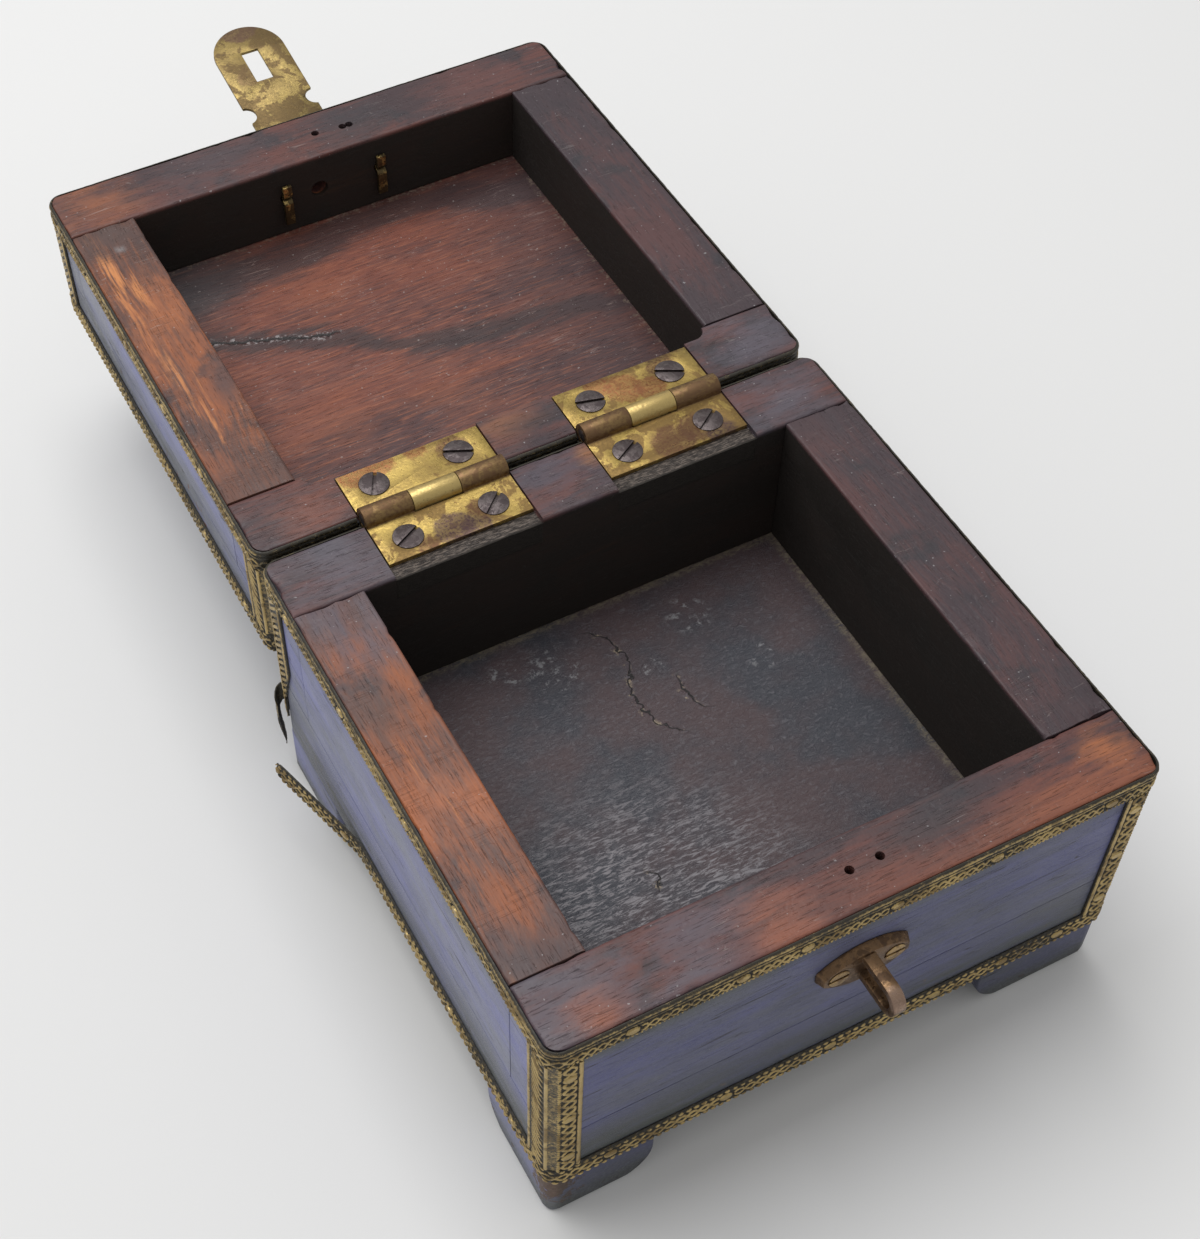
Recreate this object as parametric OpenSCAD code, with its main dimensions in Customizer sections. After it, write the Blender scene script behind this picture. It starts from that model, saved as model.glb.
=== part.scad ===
// Small wooden box on bracket feet with a hinged lid, brass edge strips, a hasp and a staple.
// It is drawn standing open: the lid is turned right back, level with the base.
// Sizes are in millimetres, +X runs along the front edge, +Y from the front to the lid, +Z is up.

/* [Box] */
// Width of the wooden box
body_w = 150; // [110:1:200]
// Depth of the base and of the lid, front to back
body_d = 143.5; // [110:0.5:200]
// Height of the base without its feet
base_h = 62.5; // [52:0.5:100]
// Height of the lid
lid_h = 38; // [30:0.5:60]
// Depth from the base's rim down to its floor
base_floor_depth = 40.5; // [25:0.5:44]
// Depth from the lid's rim down to its board
lid_floor_depth = 22.5; // [16:0.5:24]
// Thickness of the four walls
wall = 18; // [15:0.5:22]
// Rounding of the upright outer corners
corner_r = 3.5; // [1:0.5:6]

/* [Feet] */
// Height of the feet
foot_h = 15.5; // [11:0.5:25]
// Thickness of a foot's two arms
foot_t = 14; // [8:0.5:18]
// Length of the left feet along the front and the back
foot_len_left = 27; // [22:0.5:40]
// Length of the right feet along the front and the back
foot_len_right = 34.5; // [22:0.5:40]
// Length of every foot along the side
foot_len_side = 30; // [22:0.5:40]
// Rounding of a foot's inner toe
toe_r = 10.5; // [3:0.5:11]
// Rounding of a foot's outer lower edge
foot_edge_r = 1.5; // [0.5:0.5:3]
// Rounding of the worn lower edge of the front right foot
worn_edge_r = 6.5; // [2:0.5:9]

/* [Brass strips] */
// Width of the edge strips
strip_w = 6.5; // [4:0.5:8]
// Thickness of a strip between its ribs
strip_t = 0.6; // [0.4:0.1:0.8]
// Thickness of a strip over its ribs
rib_t = 0.95; // [0.8:0.05:1.2]
// Width of a strip's ribs
rib_w = 0.9; // [0.6:0.1:1.2]
// Distance from a strip to the edge of the wood
strip_inset = 0.3; // [0.1:0.1:1]
// Reach of a corner strip along the front and the back
corner_reach = 8.3; // [6:0.1:12]
// Reach of a corner strip along a side
corner_reach_side = 9.5; // [6:0.1:12]
// Distance from the back to where the torn plinth strip leaves the left side
peel_back = 48.5; // [43.5:0.5:83.5]
// Length of the straight free end of the torn plinth strip
peel_len = 30; // [10:1:35]
// Angle at which the torn end stands off
peel_angle = 15; // [5:1:25]
// Inner radius of the bend where the torn end stands off
peel_r = 20; // [10:1:40]
// Height over which the back left corner strip has come off the back
curl_h = 9; // [4:0.5:14]
// Height of the tip of its curled tail above the floor
tail_tip_z = 4.5; // [2:0.5:9]
// Height up to which its side is torn off slantwise
tear_h = 23; // [10:0.5:30]

/* [Hinges] */
// Gap between the backs of the base and the lid when the lid is turned back
back_gap = 3.5; // [3:0.1:5]
// Gap between the two rims when the lid is shut
closed_gap = 0.3; // [0.2:0.1:1]
// Length of a hinge
hinge_w = 38; // [28:0.5:44]
// Distance from the middle of the box to the middle of a hinge
hinge_x = 29.6; // [24:0.2:40]
// Distance from the pin's axis to the far edge of a leaf
leaf_reach = 15.4; // [13.5:0.1:15.5]
// Thickness of a leaf
leaf_t = 1.2; // [0.8:0.1:1.6]
// How far a leaf's face lies below the rim
leaf_sink = 0.2; // [0.1:0.1:0.6]
// Radius of the knuckles
knuckle_r = 2.95; // [2.6:0.05:3.4]
// Radius of the hinge pins
hinge_pin_r = 1.6; // [1:0.1:1.8]
// Distance from the pin's axis to the screws
hinge_screw_y = 9.5; // [8.5:0.1:10]
// Distance from the middle of a hinge to its screws
hinge_screw_x = 11.3; // [8:0.1:13]
// Radius of the hinge screws' heads
hinge_head_r = 3.75; // [3:0.05:4.2]
// Length of the hinge screws
hinge_screw_len = 13; // [8:0.5:15]
// Wood left past the leaves where the lid's back wall is cut away inside
leaf_end_wood = 0.85; // [0.6:0.05:1.1]
// Distance from the scoop's ends to the side walls
scoop_end = 1; // [1:0.5:8]

/* [Hasp and staple] */
// How far the hasp and the staple sit to the right of the middle
lock_x = 0.8; // [-5:0.1:5]
// Distance from the lid's rim to the hasp's axis
hasp_drop = 10.4; // [9.8:0.1:14]
// Distance from the lid's front face to the hasp's axis
hasp_off = 2.8; // [2.6:0.1:4]
// Width of the hasp
hasp_w = 21.4; // [18:0.2:24]
// Length of the hasp from its axis
hasp_len = 48; // [46:0.5:56]
// Thickness of the hasp
hasp_t = 0.95; // [0.8:0.05:1.2]
// Distance from the hasp's axis to the middle of its slot
slot_s = 32.4; // [31:0.1:34]
// Length of the slot
slot_len = 11.8; // [11.4:0.1:12.4]
// Width of the slot
slot_w = 5.2; // [4.6:0.1:6]
// Angle of the open hasp above the level
hasp_rise = 10; // [0:1:20]
// Radius of the hasp's pin
hasp_pin_r = 1.2; // [0.9:0.1:1.4]
// Distance from the middle of the hasp to each split pin
split_x = 14.3; // [13:0.1:18]
// Width of the flat wire of a split pin
split_w = 2.6; // [2:0.1:3]
// Thickness of one leg of a split pin
split_t = 1.05; // [0.8:0.05:1.2]
// Length of the leg bent towards the rim
leg_up = 4.5; // [3:0.5:6]
// Length of the leg bent towards the board
leg_down = 8; // [4:0.5:9]
// Length of the staple's plate
staple_len = 23.5; // [21:0.5:28]
// Height of the staple's plate
staple_h = 12.5; // [11:0.5:14]
// Thickness of the staple's plate
staple_t = 2.4; // [1.5:0.1:2.6]
// How much the plate draws in towards its face
staple_bevel = 0.9; // [0.3:0.1:1.2]
// How far the loop stands out of the front wall
loop_out = 15.1; // [13:0.1:15.5]
// Height of the loop
loop_h = 8.6; // [8:0.1:8.8]
// Width of the loop
loop_w = 3.2; // [2:0.1:3.6]
// Thickness of the loop's metal
loop_t = 2; // [1.4:0.1:2.1]
// Distance from the middle of the staple to its screws
staple_screw_x = 7.1; // [6.6:0.1:8]
// Radius of the staple screws' heads
staple_head_r = 2.6; // [2:0.1:2.8]
// Length of the staple screws
staple_screw_len = 12; // [8:0.5:14]

/* [Holes left in the wood] */
// Radius of the spare hole through the lid's front wall
spare_hole_r = 2.5; // [1.5:0.1:3]
// Radius of the old nail holes in the rims
nail_hole_r = 1.1; // [0.6:0.1:1.6]
// Depth of the old nail holes
nail_hole_depth = 7; // [3:0.5:10]

/* [Hidden] */
$fn = 64;
// Facets of the wide arcs of the staple's plate
arc_fn = 128;
// Play between a pin and its bore, and round a screw in its hole
play = 0.05;
// Play round a hinge leaf in its mortise
seat_play = 0.4;
// Room round the knuckles in the wood
knuckle_room = 0.35;
// Room between a leaf's edge and the other leaf's knuckles
leaf_room = 0.25;
// Room between the ends of two knuckles
knuckle_end_room = 0.15;
// Gap between a corner strip and the strips above and below it
strip_end_room = 0.2;
// Overlap given to cutting shapes so that they pass the surface
past = 0.5;

// Levels and planes that the two halves share: the rim, the lid's faces and the hinges' axis
rim_z = foot_h + base_h;
lid_y = body_d + back_gap;
lid_front_y = lid_y + body_d;
axis_y = body_d + back_gap / 2;
axis_z = rim_z + closed_gap / 2;
inner_w = body_w - 2 * wall;
leaf_top_z = rim_z - leaf_sink;
mortise_depth = leaf_sink + leaf_t;
knuckle_len = hinge_w / 3;
barrel_room_r = knuckle_r + knuckle_room;
scoop = wall - (leaf_reach - back_gap / 2) - leaf_end_wood;

// Screws: the share of the head that the shank takes, the tip, the driver slot and how it was left
hinge_shank_share = 0.44;
staple_shank_share = 0.5;
hinge_shank_r = hinge_head_r * hinge_shank_share;
hinge_cone_h = hinge_head_r - hinge_shank_r;
staple_shank_r = staple_head_r * staple_shank_share;
staple_cone_h = staple_head_r - staple_shank_r;
screw_tip_r = 0.3;
head_proud = leaf_sink;
driver_slot_w = 0.9;
driver_slot_depth = 0.7;
base_screw_angles = [28, 42, 30, 35];
lid_screw_angles = [62, -25, -15, -28];
staple_screw_angle = 0;

// Old nail holes, measured from the middle of the box and from the middle of the wall
base_nails = [[0.8, 0.4], [8.4, 0.4]];
lid_nails = [[0.3, 0.4], [8.3, -0.4], [10.3, -0.4]];
// The spare hole, measured from the middle of the box and from the hasp's axis
spare_hole_x = -3.4;
spare_hole_drop = 0.8;

// The hasp: its axis, its rolled root, and the notches on both sides where it narrows
hasp_axis_y = lid_front_y + hasp_off;
hasp_axis_z = rim_z - hasp_drop;
hasp_bore_r = hasp_pin_r + play;
hasp_knuckle_r = hasp_bore_r + hasp_t;
hasp_end_r = hasp_w / 2;
hasp_root_w = 20.8;
notch_r = 3;
notch_s = 15.4;
notch_out = 0.2;
// How far the hasp's pin stands out of each split pin
pin_end = 1.2;
// A split pin: its eye, the gap between its legs, the bends at their ends, and its hole
eye_r = hasp_bore_r + split_t;
split_gap = 0.2;
leg_bend_r = 0.7;
split_stem_r = norm([split_w, 2 * split_t + split_gap]) / 2 + play;

// Height of the staple, which the hasp's slot meets when the lid is shut
loop_z = rim_z + closed_gap + hasp_drop - slot_s;
loop_end_r = loop_h / 2;
// How much longer than the plate the lens between its two arcs would be
plate_point = 1.14;

// Straight steps that make up the bend of the torn strip
bend_steps = 6;
peel_y = body_d - peel_back;
// Lower edges of the strips and of the lid, and the ends of the corner strips between them
strip_low_z = foot_h + strip_inset;
lid_low_z = rim_z - lid_h;
corner_low_z = strip_low_z + strip_w + strip_end_room;
corner_high_z = rim_z - strip_inset - strip_w - strip_end_room;
lid_corner_low_z = lid_low_z + strip_inset + strip_w + strip_end_room;

// The curl of the torn corner strip: where it leaves the fold, where it ends, and its room from
// the wood and from the lid, which together leave it this outer radius
curl_leave = 135;
curl_end = 200;
curl_wood_gap = 0.1;
curl_lid_room = 0.3;
fold_end = 115;
// Share of the tear's height that is left at the fold
tear_low_share = 0.33;
curl_r = (back_gap - rib_t - curl_lid_room + corner_r - (corner_r + curl_wood_gap) * sin(curl_leave))
    / (1 + sin(curl_leave));
// Outline of the tail seen from the front, out from the curl's middle in its outer radii. Its heights
// above the strip's lower end are shares of the curl's height, and those below it of the tail's length
tail_right = [[2.2, 0.24], [0.5, 0.14], [-0.25, -0.05], [-0.25, -0.26], [0.02, -0.51], [0.18, -0.77]];
tail_left = [[-0.04, -1], [-0.35, -0.77], [-0.75, -0.49], [-1.1, -0.14], [-1, 0.33], [-0.2, 0.76], [2.2, 1]];

// Furthest points of the open box, which set the reference point at the middle of its footprint
peel_reach = peel_r - (peel_r - rib_t) * cos(peel_angle) + peel_len * sin(peel_angle);
left_x = -body_w / 2 - peel_reach;
right_x = body_w / 2 + rib_t;
front_y = -loop_out;
back_y = hasp_axis_y + hasp_len * cos(hasp_rise) + hasp_knuckle_r * sin(hasp_rise);
ref_x = (left_x + right_x) / 2;
ref_y = (front_y + back_y) / 2;

// Moves a piece from the box's own corner lines to the reference point
module placed() {
    translate([-ref_x, -ref_y, 0]) children();
}

// Outline of the box in plan with rounded corners, grown outwards by a strip's thickness
module outline(grow = 0) {
    translate([-body_w / 2 - grow, corner_r]) square([body_w + 2 * grow, body_d - 2 * corner_r]);
    translate([-body_w / 2 + corner_r, -grow]) square([body_w - 2 * corner_r, body_d + 2 * grow]);
    for (side = [-1, 1], y = [corner_r, body_d - corner_r]) {
        translate([side * (body_w / 2 - corner_r), y]) circle(corner_r + grow);
    }
}

// A wall that runs the full width of the box, from the floor's level up to the rim
module long_wall(y, height) {
    linear_extrude(height) intersection() {
        outline();
        translate([-body_w / 2 - past, y]) square([body_w + 2 * past, wall]);
    }
}

// A wall that fits between the two long walls
module short_wall(side, height) {
    x = side < 0 ? -body_w / 2 : inner_w / 2;
    translate([x, wall, 0]) cube([wall, body_d - 2 * wall, height]);
}

// A countersunk screw whose head lies at the height zero and which points down
module screw(head_r, shank_r, cone_h, length, grow = 0) {
    translate([0, 0, -cone_h]) cylinder(h = cone_h, r1 = shank_r + grow, r2 = head_r + grow);
    translate([0, 0, -length + shank_r]) cylinder(h = length - shank_r, r = shank_r + grow);
    translate([0, 0, -length - grow]) cylinder(h = shank_r + grow, r1 = screw_tip_r, r2 = shank_r + grow);
}

// The same screw with the proud part of its head and its driver slot, turned by an angle
module slotted_screw(head_r, shank_r, cone_h, length, angle) {
    difference() {
        union() {
            screw(head_r, shank_r, cone_h, length);
            cylinder(h = head_proud, r = head_r);
        }
        rotate([0, 0, angle]) translate([-head_r - past, -driver_slot_w / 2, head_proud - driver_slot_depth])
            cube([2 * (head_r + past), driver_slot_w, driver_slot_depth + past]);
    }
}

// Places of the four screws in the leaves on one side of the pins: 1 for the lid, -1 for the base
function hinge_screw_places(side) = [
    for (hinge = [-1, 1], end = [-1, 1])
        [hinge * hinge_x + end * hinge_screw_x, axis_y + side * hinge_screw_y, leaf_top_z]
];

// Everything that the two hinges need cut out of the wood and the strips on one side of the pins
module hinge_cuts(side) {
    seat_w = hinge_w + 2 * seat_play;
    seat_y = side < 0 ? body_d - wall - past : lid_y - rib_t - past;
    for (hinge = [-1, 1]) {
        translate([hinge * hinge_x - seat_w / 2, seat_y, rim_z - mortise_depth])
            cube([seat_w, wall + rib_t + 2 * past, mortise_depth + past]);
        translate([hinge * hinge_x - seat_w / 2, axis_y, axis_z]) rotate([0, 90, 0])
            cylinder(h = seat_w, r = barrel_room_r);
    }
    for (place = hinge_screw_places(side)) {
        translate(place) screw(hinge_head_r, hinge_shank_r, hinge_cone_h, hinge_screw_len, play);
    }
}

// Old nail holes in a rim, round the middle line of its wall
module nail_holes(middle_y, places) {
    for (place = places) {
        translate([place.x, middle_y + place.y, rim_z - nail_hole_depth])
            cylinder(h = nail_hole_depth + past, r = nail_hole_r);
    }
}

// The walls of the base
module base_front_wall() placed() color("#5a3a33") {
    difference() {
        translate([0, 0, rim_z - base_floor_depth]) long_wall(0, base_floor_depth);
        staple_screw_places() screw(staple_head_r, staple_shank_r, staple_cone_h, staple_screw_len, play);
        nail_holes(wall / 2, base_nails);
    }
}

module base_back_wall() placed() color("#4a2f2b") {
    difference() {
        translate([0, 0, rim_z - base_floor_depth]) long_wall(body_d - wall, base_floor_depth);
        hinge_cuts(-1);
    }
}

module base_left_wall() placed() color("#7b4a2c") {
    translate([0, 0, rim_z - base_floor_depth]) short_wall(-1, base_floor_depth);
}

module base_right_wall() placed() color("#4f322c") {
    translate([0, 0, rim_z - base_floor_depth]) short_wall(1, base_floor_depth);
}

// The board under the walls, whose edges show below them
module base_bottom_board() placed() color("#3a3236") {
    translate([0, 0, foot_h]) linear_extrude(base_h - base_floor_depth) outline();
}

// Side view of one arm of a foot, from its outer end at zero to its rounded toe
module arm_profile(length) {
    difference() {
        square([length, foot_h]);
        difference() {
            translate([length - toe_r, -past]) square([toe_r + past, toe_r + past]);
            translate([length - toe_r, toe_r]) circle(toe_r);
        }
    }
}

// Side view of a block whose outer lower edge is rounded
module edge_profile(length, edge_r) {
    translate([edge_r, 0]) square([length - edge_r, foot_h]);
    translate([0, edge_r]) square([length, foot_h - edge_r]);
    translate([edge_r, edge_r]) circle(edge_r);
}

// A bracket foot of two arms, one along the front or the back and one along the side
module foot(right, back, length, edge_r = foot_edge_r) {
    translate([right * body_w / 2, back * body_d, 0]) mirror([right > 0 ? 1 : 0, 0, 0])
        mirror([0, back, 0]) intersection() {
            union() {
                translate([0, foot_t, 0]) rotate([90, 0, 0]) linear_extrude(foot_t) arm_profile(length);
                rotate([90, 0, 90]) linear_extrude(foot_t) arm_profile(foot_len_side);
            }
            translate([0, body_d, 0]) rotate([90, 0, 0]) linear_extrude(body_d) edge_profile(body_w, edge_r);
            rotate([90, 0, 90]) linear_extrude(body_w) edge_profile(body_d, foot_edge_r);
            linear_extrude(foot_h) {
                translate([corner_r, 0]) square([body_w, body_d]);
                translate([0, corner_r]) square([body_w, body_d]);
                translate([corner_r, corner_r]) circle(corner_r);
            }
        }
}

module foot_front_left() placed() color("#55506f") foot(-1, 0, foot_len_left);

module foot_front_right() placed() color("#55506f") foot(1, 0, foot_len_right, worn_edge_r);

module foot_back_left() placed() color("#55506f") foot(-1, 1, foot_len_left);

module foot_back_right() placed() color("#55506f") foot(1, 1, foot_len_right);

// A strip that runs right round the box, with a rib along each edge
module ribbed_band() {
    linear_extrude(strip_w) difference() {
        outline(strip_t);
        outline();
    }
    for (z = [0, strip_w - rib_w]) {
        translate([0, 0, z]) linear_extrude(rib_w) difference() {
            outline(rib_t);
            outline();
        }
    }
}

// A point of the torn end in plan: so far round the bend, then so far along the straight end
function peel_point(radius, angle, run = 0) = [
    -body_w / 2 - peel_r + radius * cos(angle) - run * sin(angle),
    peel_y + radius * sin(angle) + run * cos(angle)
];

// Plan of the torn plinth strip at one thickness: it leaves the left side and its end stands off
module peeled_plan(thickness) {
    difference() {
        outline(thickness);
        outline();
        translate([-body_w / 2 - thickness - past, peel_y])
            square([corner_r + thickness + past, body_d - peel_y + thickness + past]);
    }
    angles = [for (i = [0 : bend_steps]) peel_angle * i / bend_steps];
    polygon(concat(
        [for (angle = angles) peel_point(peel_r, angle)],
        [peel_point(peel_r, peel_angle, peel_len), peel_point(peel_r - thickness, peel_angle, peel_len)],
        [for (i = [bend_steps : -1 : 0]) peel_point(peel_r - thickness, angles[i])]
    ));
}

module base_rim_band() placed() color("#8a7a3f") {
    difference() {
        translate([0, 0, rim_z - strip_inset - strip_w]) ribbed_band();
        hinge_cuts(-1);
    }
}

module base_plinth_band() placed() color("#8a7a3f") {
    translate([0, 0, strip_low_z]) {
        linear_extrude(strip_w) peeled_plan(strip_t);
        for (z = [0, strip_w - rib_w]) {
            translate([0, 0, z]) linear_extrude(rib_w) peeled_plan(rib_t);
        }
    }
}

// Plan of a strip folded round one corner, as a slice of the outline between two reaches
module corner_plan(right, back, thickness, from_x, to_x, from_y, to_y) {
    x = right * (body_w / 2 + thickness);
    y = back > 0 ? body_d + thickness : -thickness;
    intersection() {
        difference() {
            outline(thickness);
            outline();
        }
        union() {
            translate([right > 0 ? x - to_x : x + from_x, back > 0 ? y - corner_r - thickness : y])
                square([to_x - from_x, corner_r + thickness]);
            translate([right > 0 ? x - corner_r - thickness : x, back > 0 ? y - to_y : y + from_y])
                square([corner_r + thickness, to_y - from_y]);
        }
    }
}

// A strip folded round one upright corner, with a rib along each edge and one beside the fold
module corner_strip(right, back, height) {
    linear_extrude(height) corner_plan(right, back, strip_t, 0, corner_reach, 0, corner_reach_side);
    linear_extrude(height) corner_plan(right, back, rib_t,
        corner_reach - rib_w, corner_reach, corner_reach_side - rib_w, corner_reach_side);
    linear_extrude(height) corner_plan(right, back, rib_t,
        corner_r - rib_w, corner_r + rib_w, corner_r - rib_w, corner_r + rib_w);
}

module base_corner(right, back) {
    translate([0, 0, corner_low_z]) corner_strip(right, back, corner_high_z - corner_low_z);
}

// What is gone from the back left corner strip: all past the end of its fold on the back, and a
// corner below a slanting tear on the side
module torn_away() {
    fold_r = corner_r + strip_t / 2;
    tear_y = -corner_reach_side + corner_r - past;
    translate([-body_w / 2 + corner_r + fold_r * cos(fold_end), body_d - corner_r / 2, corner_low_z - past])
        cube([corner_reach, corner_r, curl_h + past]);
    translate([-body_w / 2 - 2 * rib_t, body_d - corner_r, corner_low_z]) rotate([90, 0, 90])
        linear_extrude(2 * rib_t + past)
            polygon([[0, -past], [0, tear_low_share * tear_h], [tear_y, tear_h], [tear_y, -past]]);
}

// Plan of the curl: the strip leaves the fold and rolls away from the back, up to the room at the lid
module curl_plan(mid) {
    reach = 2 * curl_r;
    gap_angles = [curl_end, (curl_end + curl_leave + 180) / 2, curl_leave + 180];
    translate(mid) difference() {
        circle(curl_r);
        circle(curl_r - strip_t);
        polygon(concat([[0, 0]], [for (angle = gap_angles) reach * [cos(angle), sin(angle)]]));
    }
}

// The curl, cut to a tail that hangs down past the strip's lower end
module torn_tail() {
    from_fold = corner_r + curl_wood_gap + curl_r;
    mid = [-body_w / 2 + corner_r, body_d - corner_r] + from_fold * [cos(curl_leave), sin(curl_leave)];
    tail_h = corner_low_z - tail_tip_z;
    outline = concat(tail_right, tail_left);
    intersection() {
        linear_extrude(corner_high_z) curl_plan(mid);
        translate([mid.x, mid.y + 2 * curl_r, corner_low_z]) rotate([90, 0, 0])
            linear_extrude(4 * curl_r)
                polygon([for (p = outline) [p.x * curl_r, p.y * (p.y > 0 ? curl_h : tail_h)]]);
    }
}

module base_corner_front_left() placed() color("#93823f") base_corner(-1, 0);

module base_corner_front_right() placed() color("#93823f") base_corner(1, 0);

module base_corner_back_left() placed() color("#93823f") {
    difference() {
        base_corner(-1, 1);
        torn_away();
    }
    torn_tail();
}

module base_corner_back_right() placed() color("#93823f") base_corner(1, 1);

// Turns a leaf drawn towards +Y into the leaf for one side of the pins
module leaf_side(side) {
    translate([0, axis_y, axis_z]) mirror([0, side < 0 ? 1 : 0, 0]) children();
}

// One leaf of a hinge. Its knuckles take the thirds that are listed: 0 left, 1 middle, 2 right
module hinge_leaf(side, hinge, thirds) {
    plate_z = leaf_top_z - leaf_t - axis_z;
    plate_y = knuckle_r + leaf_room;
    difference() {
        leaf_side(side) translate([hinge * hinge_x - hinge_w / 2, 0, 0]) {
            translate([0, plate_y, plate_z]) cube([hinge_w, leaf_reach - plate_y, leaf_t]);
            for (third = thirds) {
                start = third * knuckle_len + (third > 0 ? knuckle_end_room / 2 : 0);
                end = (third + 1) * knuckle_len - (third < 2 ? knuckle_end_room / 2 : 0);
                translate([start, 0, 0]) rotate([0, 90, 0]) cylinder(h = end - start, r = knuckle_r);
                translate([start, 0, plate_z]) cube([end - start, plate_y + past, leaf_t]);
            }
        }
        translate([hinge * hinge_x - hinge_w / 2 - past, axis_y, axis_z]) rotate([0, 90, 0])
            cylinder(h = hinge_w + 2 * past, r = hinge_pin_r + play);
        for (place = hinge_screw_places(side)) {
            translate(place) screw(hinge_head_r, hinge_shank_r, hinge_cone_h, hinge_screw_len, play);
        }
    }
}

module hinge_base_leaf_left() placed() color("#b9923c") hinge_leaf(-1, -1, [0, 2]);

module hinge_base_leaf_right() placed() color("#b9923c") hinge_leaf(-1, 1, [0, 2]);

module hinge_lid_leaf_left() placed() color("#c9a347") hinge_leaf(1, -1, [1]);

module hinge_lid_leaf_right() placed() color("#c9a347") hinge_leaf(1, 1, [1]);

// A hinge's pin, cut off level with the knuckles
module hinge_pin(hinge) {
    translate([hinge * hinge_x - hinge_w / 2, axis_y, axis_z]) rotate([0, 90, 0])
        cylinder(h = hinge_w, r = hinge_pin_r);
}

module hinge_pin_left() placed() color("#6f5a3a") hinge_pin(-1);

module hinge_pin_right() placed() color("#6f5a3a") hinge_pin(1);

// The screws of the hinges, each left at the angle where the driver stopped
module hinge_screws(side, angles) {
    places = hinge_screw_places(side);
    for (i = [0 : len(places) - 1]) {
        translate(places[i])
            slotted_screw(hinge_head_r, hinge_shank_r, hinge_cone_h, hinge_screw_len, angles[i]);
    }
}

module base_hinge_screws() placed() color("#5d5854") hinge_screws(-1, base_screw_angles);

module lid_hinge_screws() placed() color("#5d5854") hinge_screws(1, lid_screw_angles);

// Puts a screw, or the hole for it, at both ends of the staple's plate
module staple_screw_places() {
    for (side = [-1, 1]) {
        translate([lock_x + side * staple_screw_x, -staple_t, loop_z]) rotate([90, 0, 0]) children();
    }
}

module staple_screws() placed() color("#6b6248") {
    staple_screw_places()
        slotted_screw(staple_head_r, staple_shank_r, staple_cone_h, staple_screw_len, staple_screw_angle);
}

// One of the two wide tapered arcs that bound the staple's plate above and below
module plate_arc(side) {
    half_h = staple_h / 2;
    arc_r = (pow(staple_len * plate_point / 2, 2) + half_h * half_h) / staple_h;
    translate([0, side * (arc_r - half_h), 0])
        cylinder(h = staple_t, r1 = arc_r, r2 = arc_r - staple_bevel, $fn = arc_fn);
}

// The staple's plate: two arcs meet in a lens, a third shape rounds its points, and all sides slope in
module staple_plate() {
    rotate([90, 0, 0]) intersection() {
        plate_arc(1);
        plate_arc(-1);
        cylinder(h = staple_t, r1 = staple_len / 2, r2 = staple_len / 2 - staple_bevel);
    }
}

// Side view of the loop: straight sides and a half round end
module loop_profile(half_h, reach) {
    translate([0, -half_h]) square([reach - half_h, 2 * half_h]);
    translate([reach - half_h, 0]) circle(half_h);
}

module staple() placed() color("#84653f") {
    difference() {
        translate([lock_x, 0, loop_z]) {
            staple_plate();
            translate([-loop_w / 2, 0, 0]) rotate([90, 0, 90]) mirror([1, 0, 0])
                linear_extrude(loop_w) difference() {
                    loop_profile(loop_end_r, loop_out);
                    translate([staple_t, 0]) loop_hole();
                }
        }
        staple_screw_places() screw(staple_head_r, staple_shank_r, staple_cone_h, staple_screw_len, play);
    }
}

// The eye of the loop, which takes a padlock
module loop_hole() {
    half_h = loop_end_r - loop_t;
    reach = loop_out - loop_t - staple_t;
    translate([0, -half_h]) square([reach - half_h, 2 * half_h]);
    translate([reach - half_h, 0]) circle(half_h);
}

// The walls and the board of the lid
module lid_front_wall() placed() color("#5a3a33") {
    wall_y = lid_front_y - wall;
    difference() {
        translate([0, lid_y, rim_z - lid_floor_depth]) long_wall(body_d - wall, lid_floor_depth);
        for (side = [-1, 1]) {
            translate([lock_x + side * split_x, wall_y - past, hasp_axis_z]) rotate([-90, 0, 0])
                cylinder(h = wall + 2 * past, r = split_stem_r);
        }
        translate([spare_hole_x, wall_y - past, hasp_axis_z - spare_hole_drop]) rotate([-90, 0, 0])
            cylinder(h = wall + 2 * past, r = spare_hole_r);
        nail_holes(wall_y + wall / 2, lid_nails);
    }
}

module lid_back_wall() placed() color("#5a3428") {
    scoop_w = inner_w - 2 * scoop_end - 2 * scoop;
    difference() {
        translate([0, lid_y, rim_z - lid_floor_depth]) long_wall(0, lid_floor_depth);
        hinge_cuts(1);
        translate([0, lid_y + wall, rim_z - lid_floor_depth - past])
            linear_extrude(lid_floor_depth + 2 * past) {
                translate([-scoop_w / 2, -scoop]) square([scoop_w, scoop + past]);
                for (side = [-1, 1]) {
                    translate([side * scoop_w / 2, 0]) circle(scoop);
                }
            }
    }
}

module lid_left_wall() placed() color("#8a5430") {
    translate([0, lid_y, rim_z - lid_floor_depth]) short_wall(-1, lid_floor_depth);
}

module lid_right_wall() placed() color("#4f322c") {
    translate([0, lid_y, rim_z - lid_floor_depth]) short_wall(1, lid_floor_depth);
}

module lid_top_board() placed() color("#6b3526") {
    translate([0, lid_y, lid_low_z]) linear_extrude(lid_h - lid_floor_depth) outline();
}

module lid_rim_band() placed() color("#8a7a3f") {
    difference() {
        translate([0, lid_y, rim_z - strip_inset - strip_w]) ribbed_band();
        hinge_cuts(1);
    }
}

module lid_board_band() placed() color("#8a7a3f") {
    translate([0, lid_y, lid_low_z + strip_inset]) ribbed_band();
}

// The lid's front is its far side while it is turned back
module lid_corner(right, back) {
    translate([0, lid_y, lid_corner_low_z]) corner_strip(right, back, corner_high_z - lid_corner_low_z);
}

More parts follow.
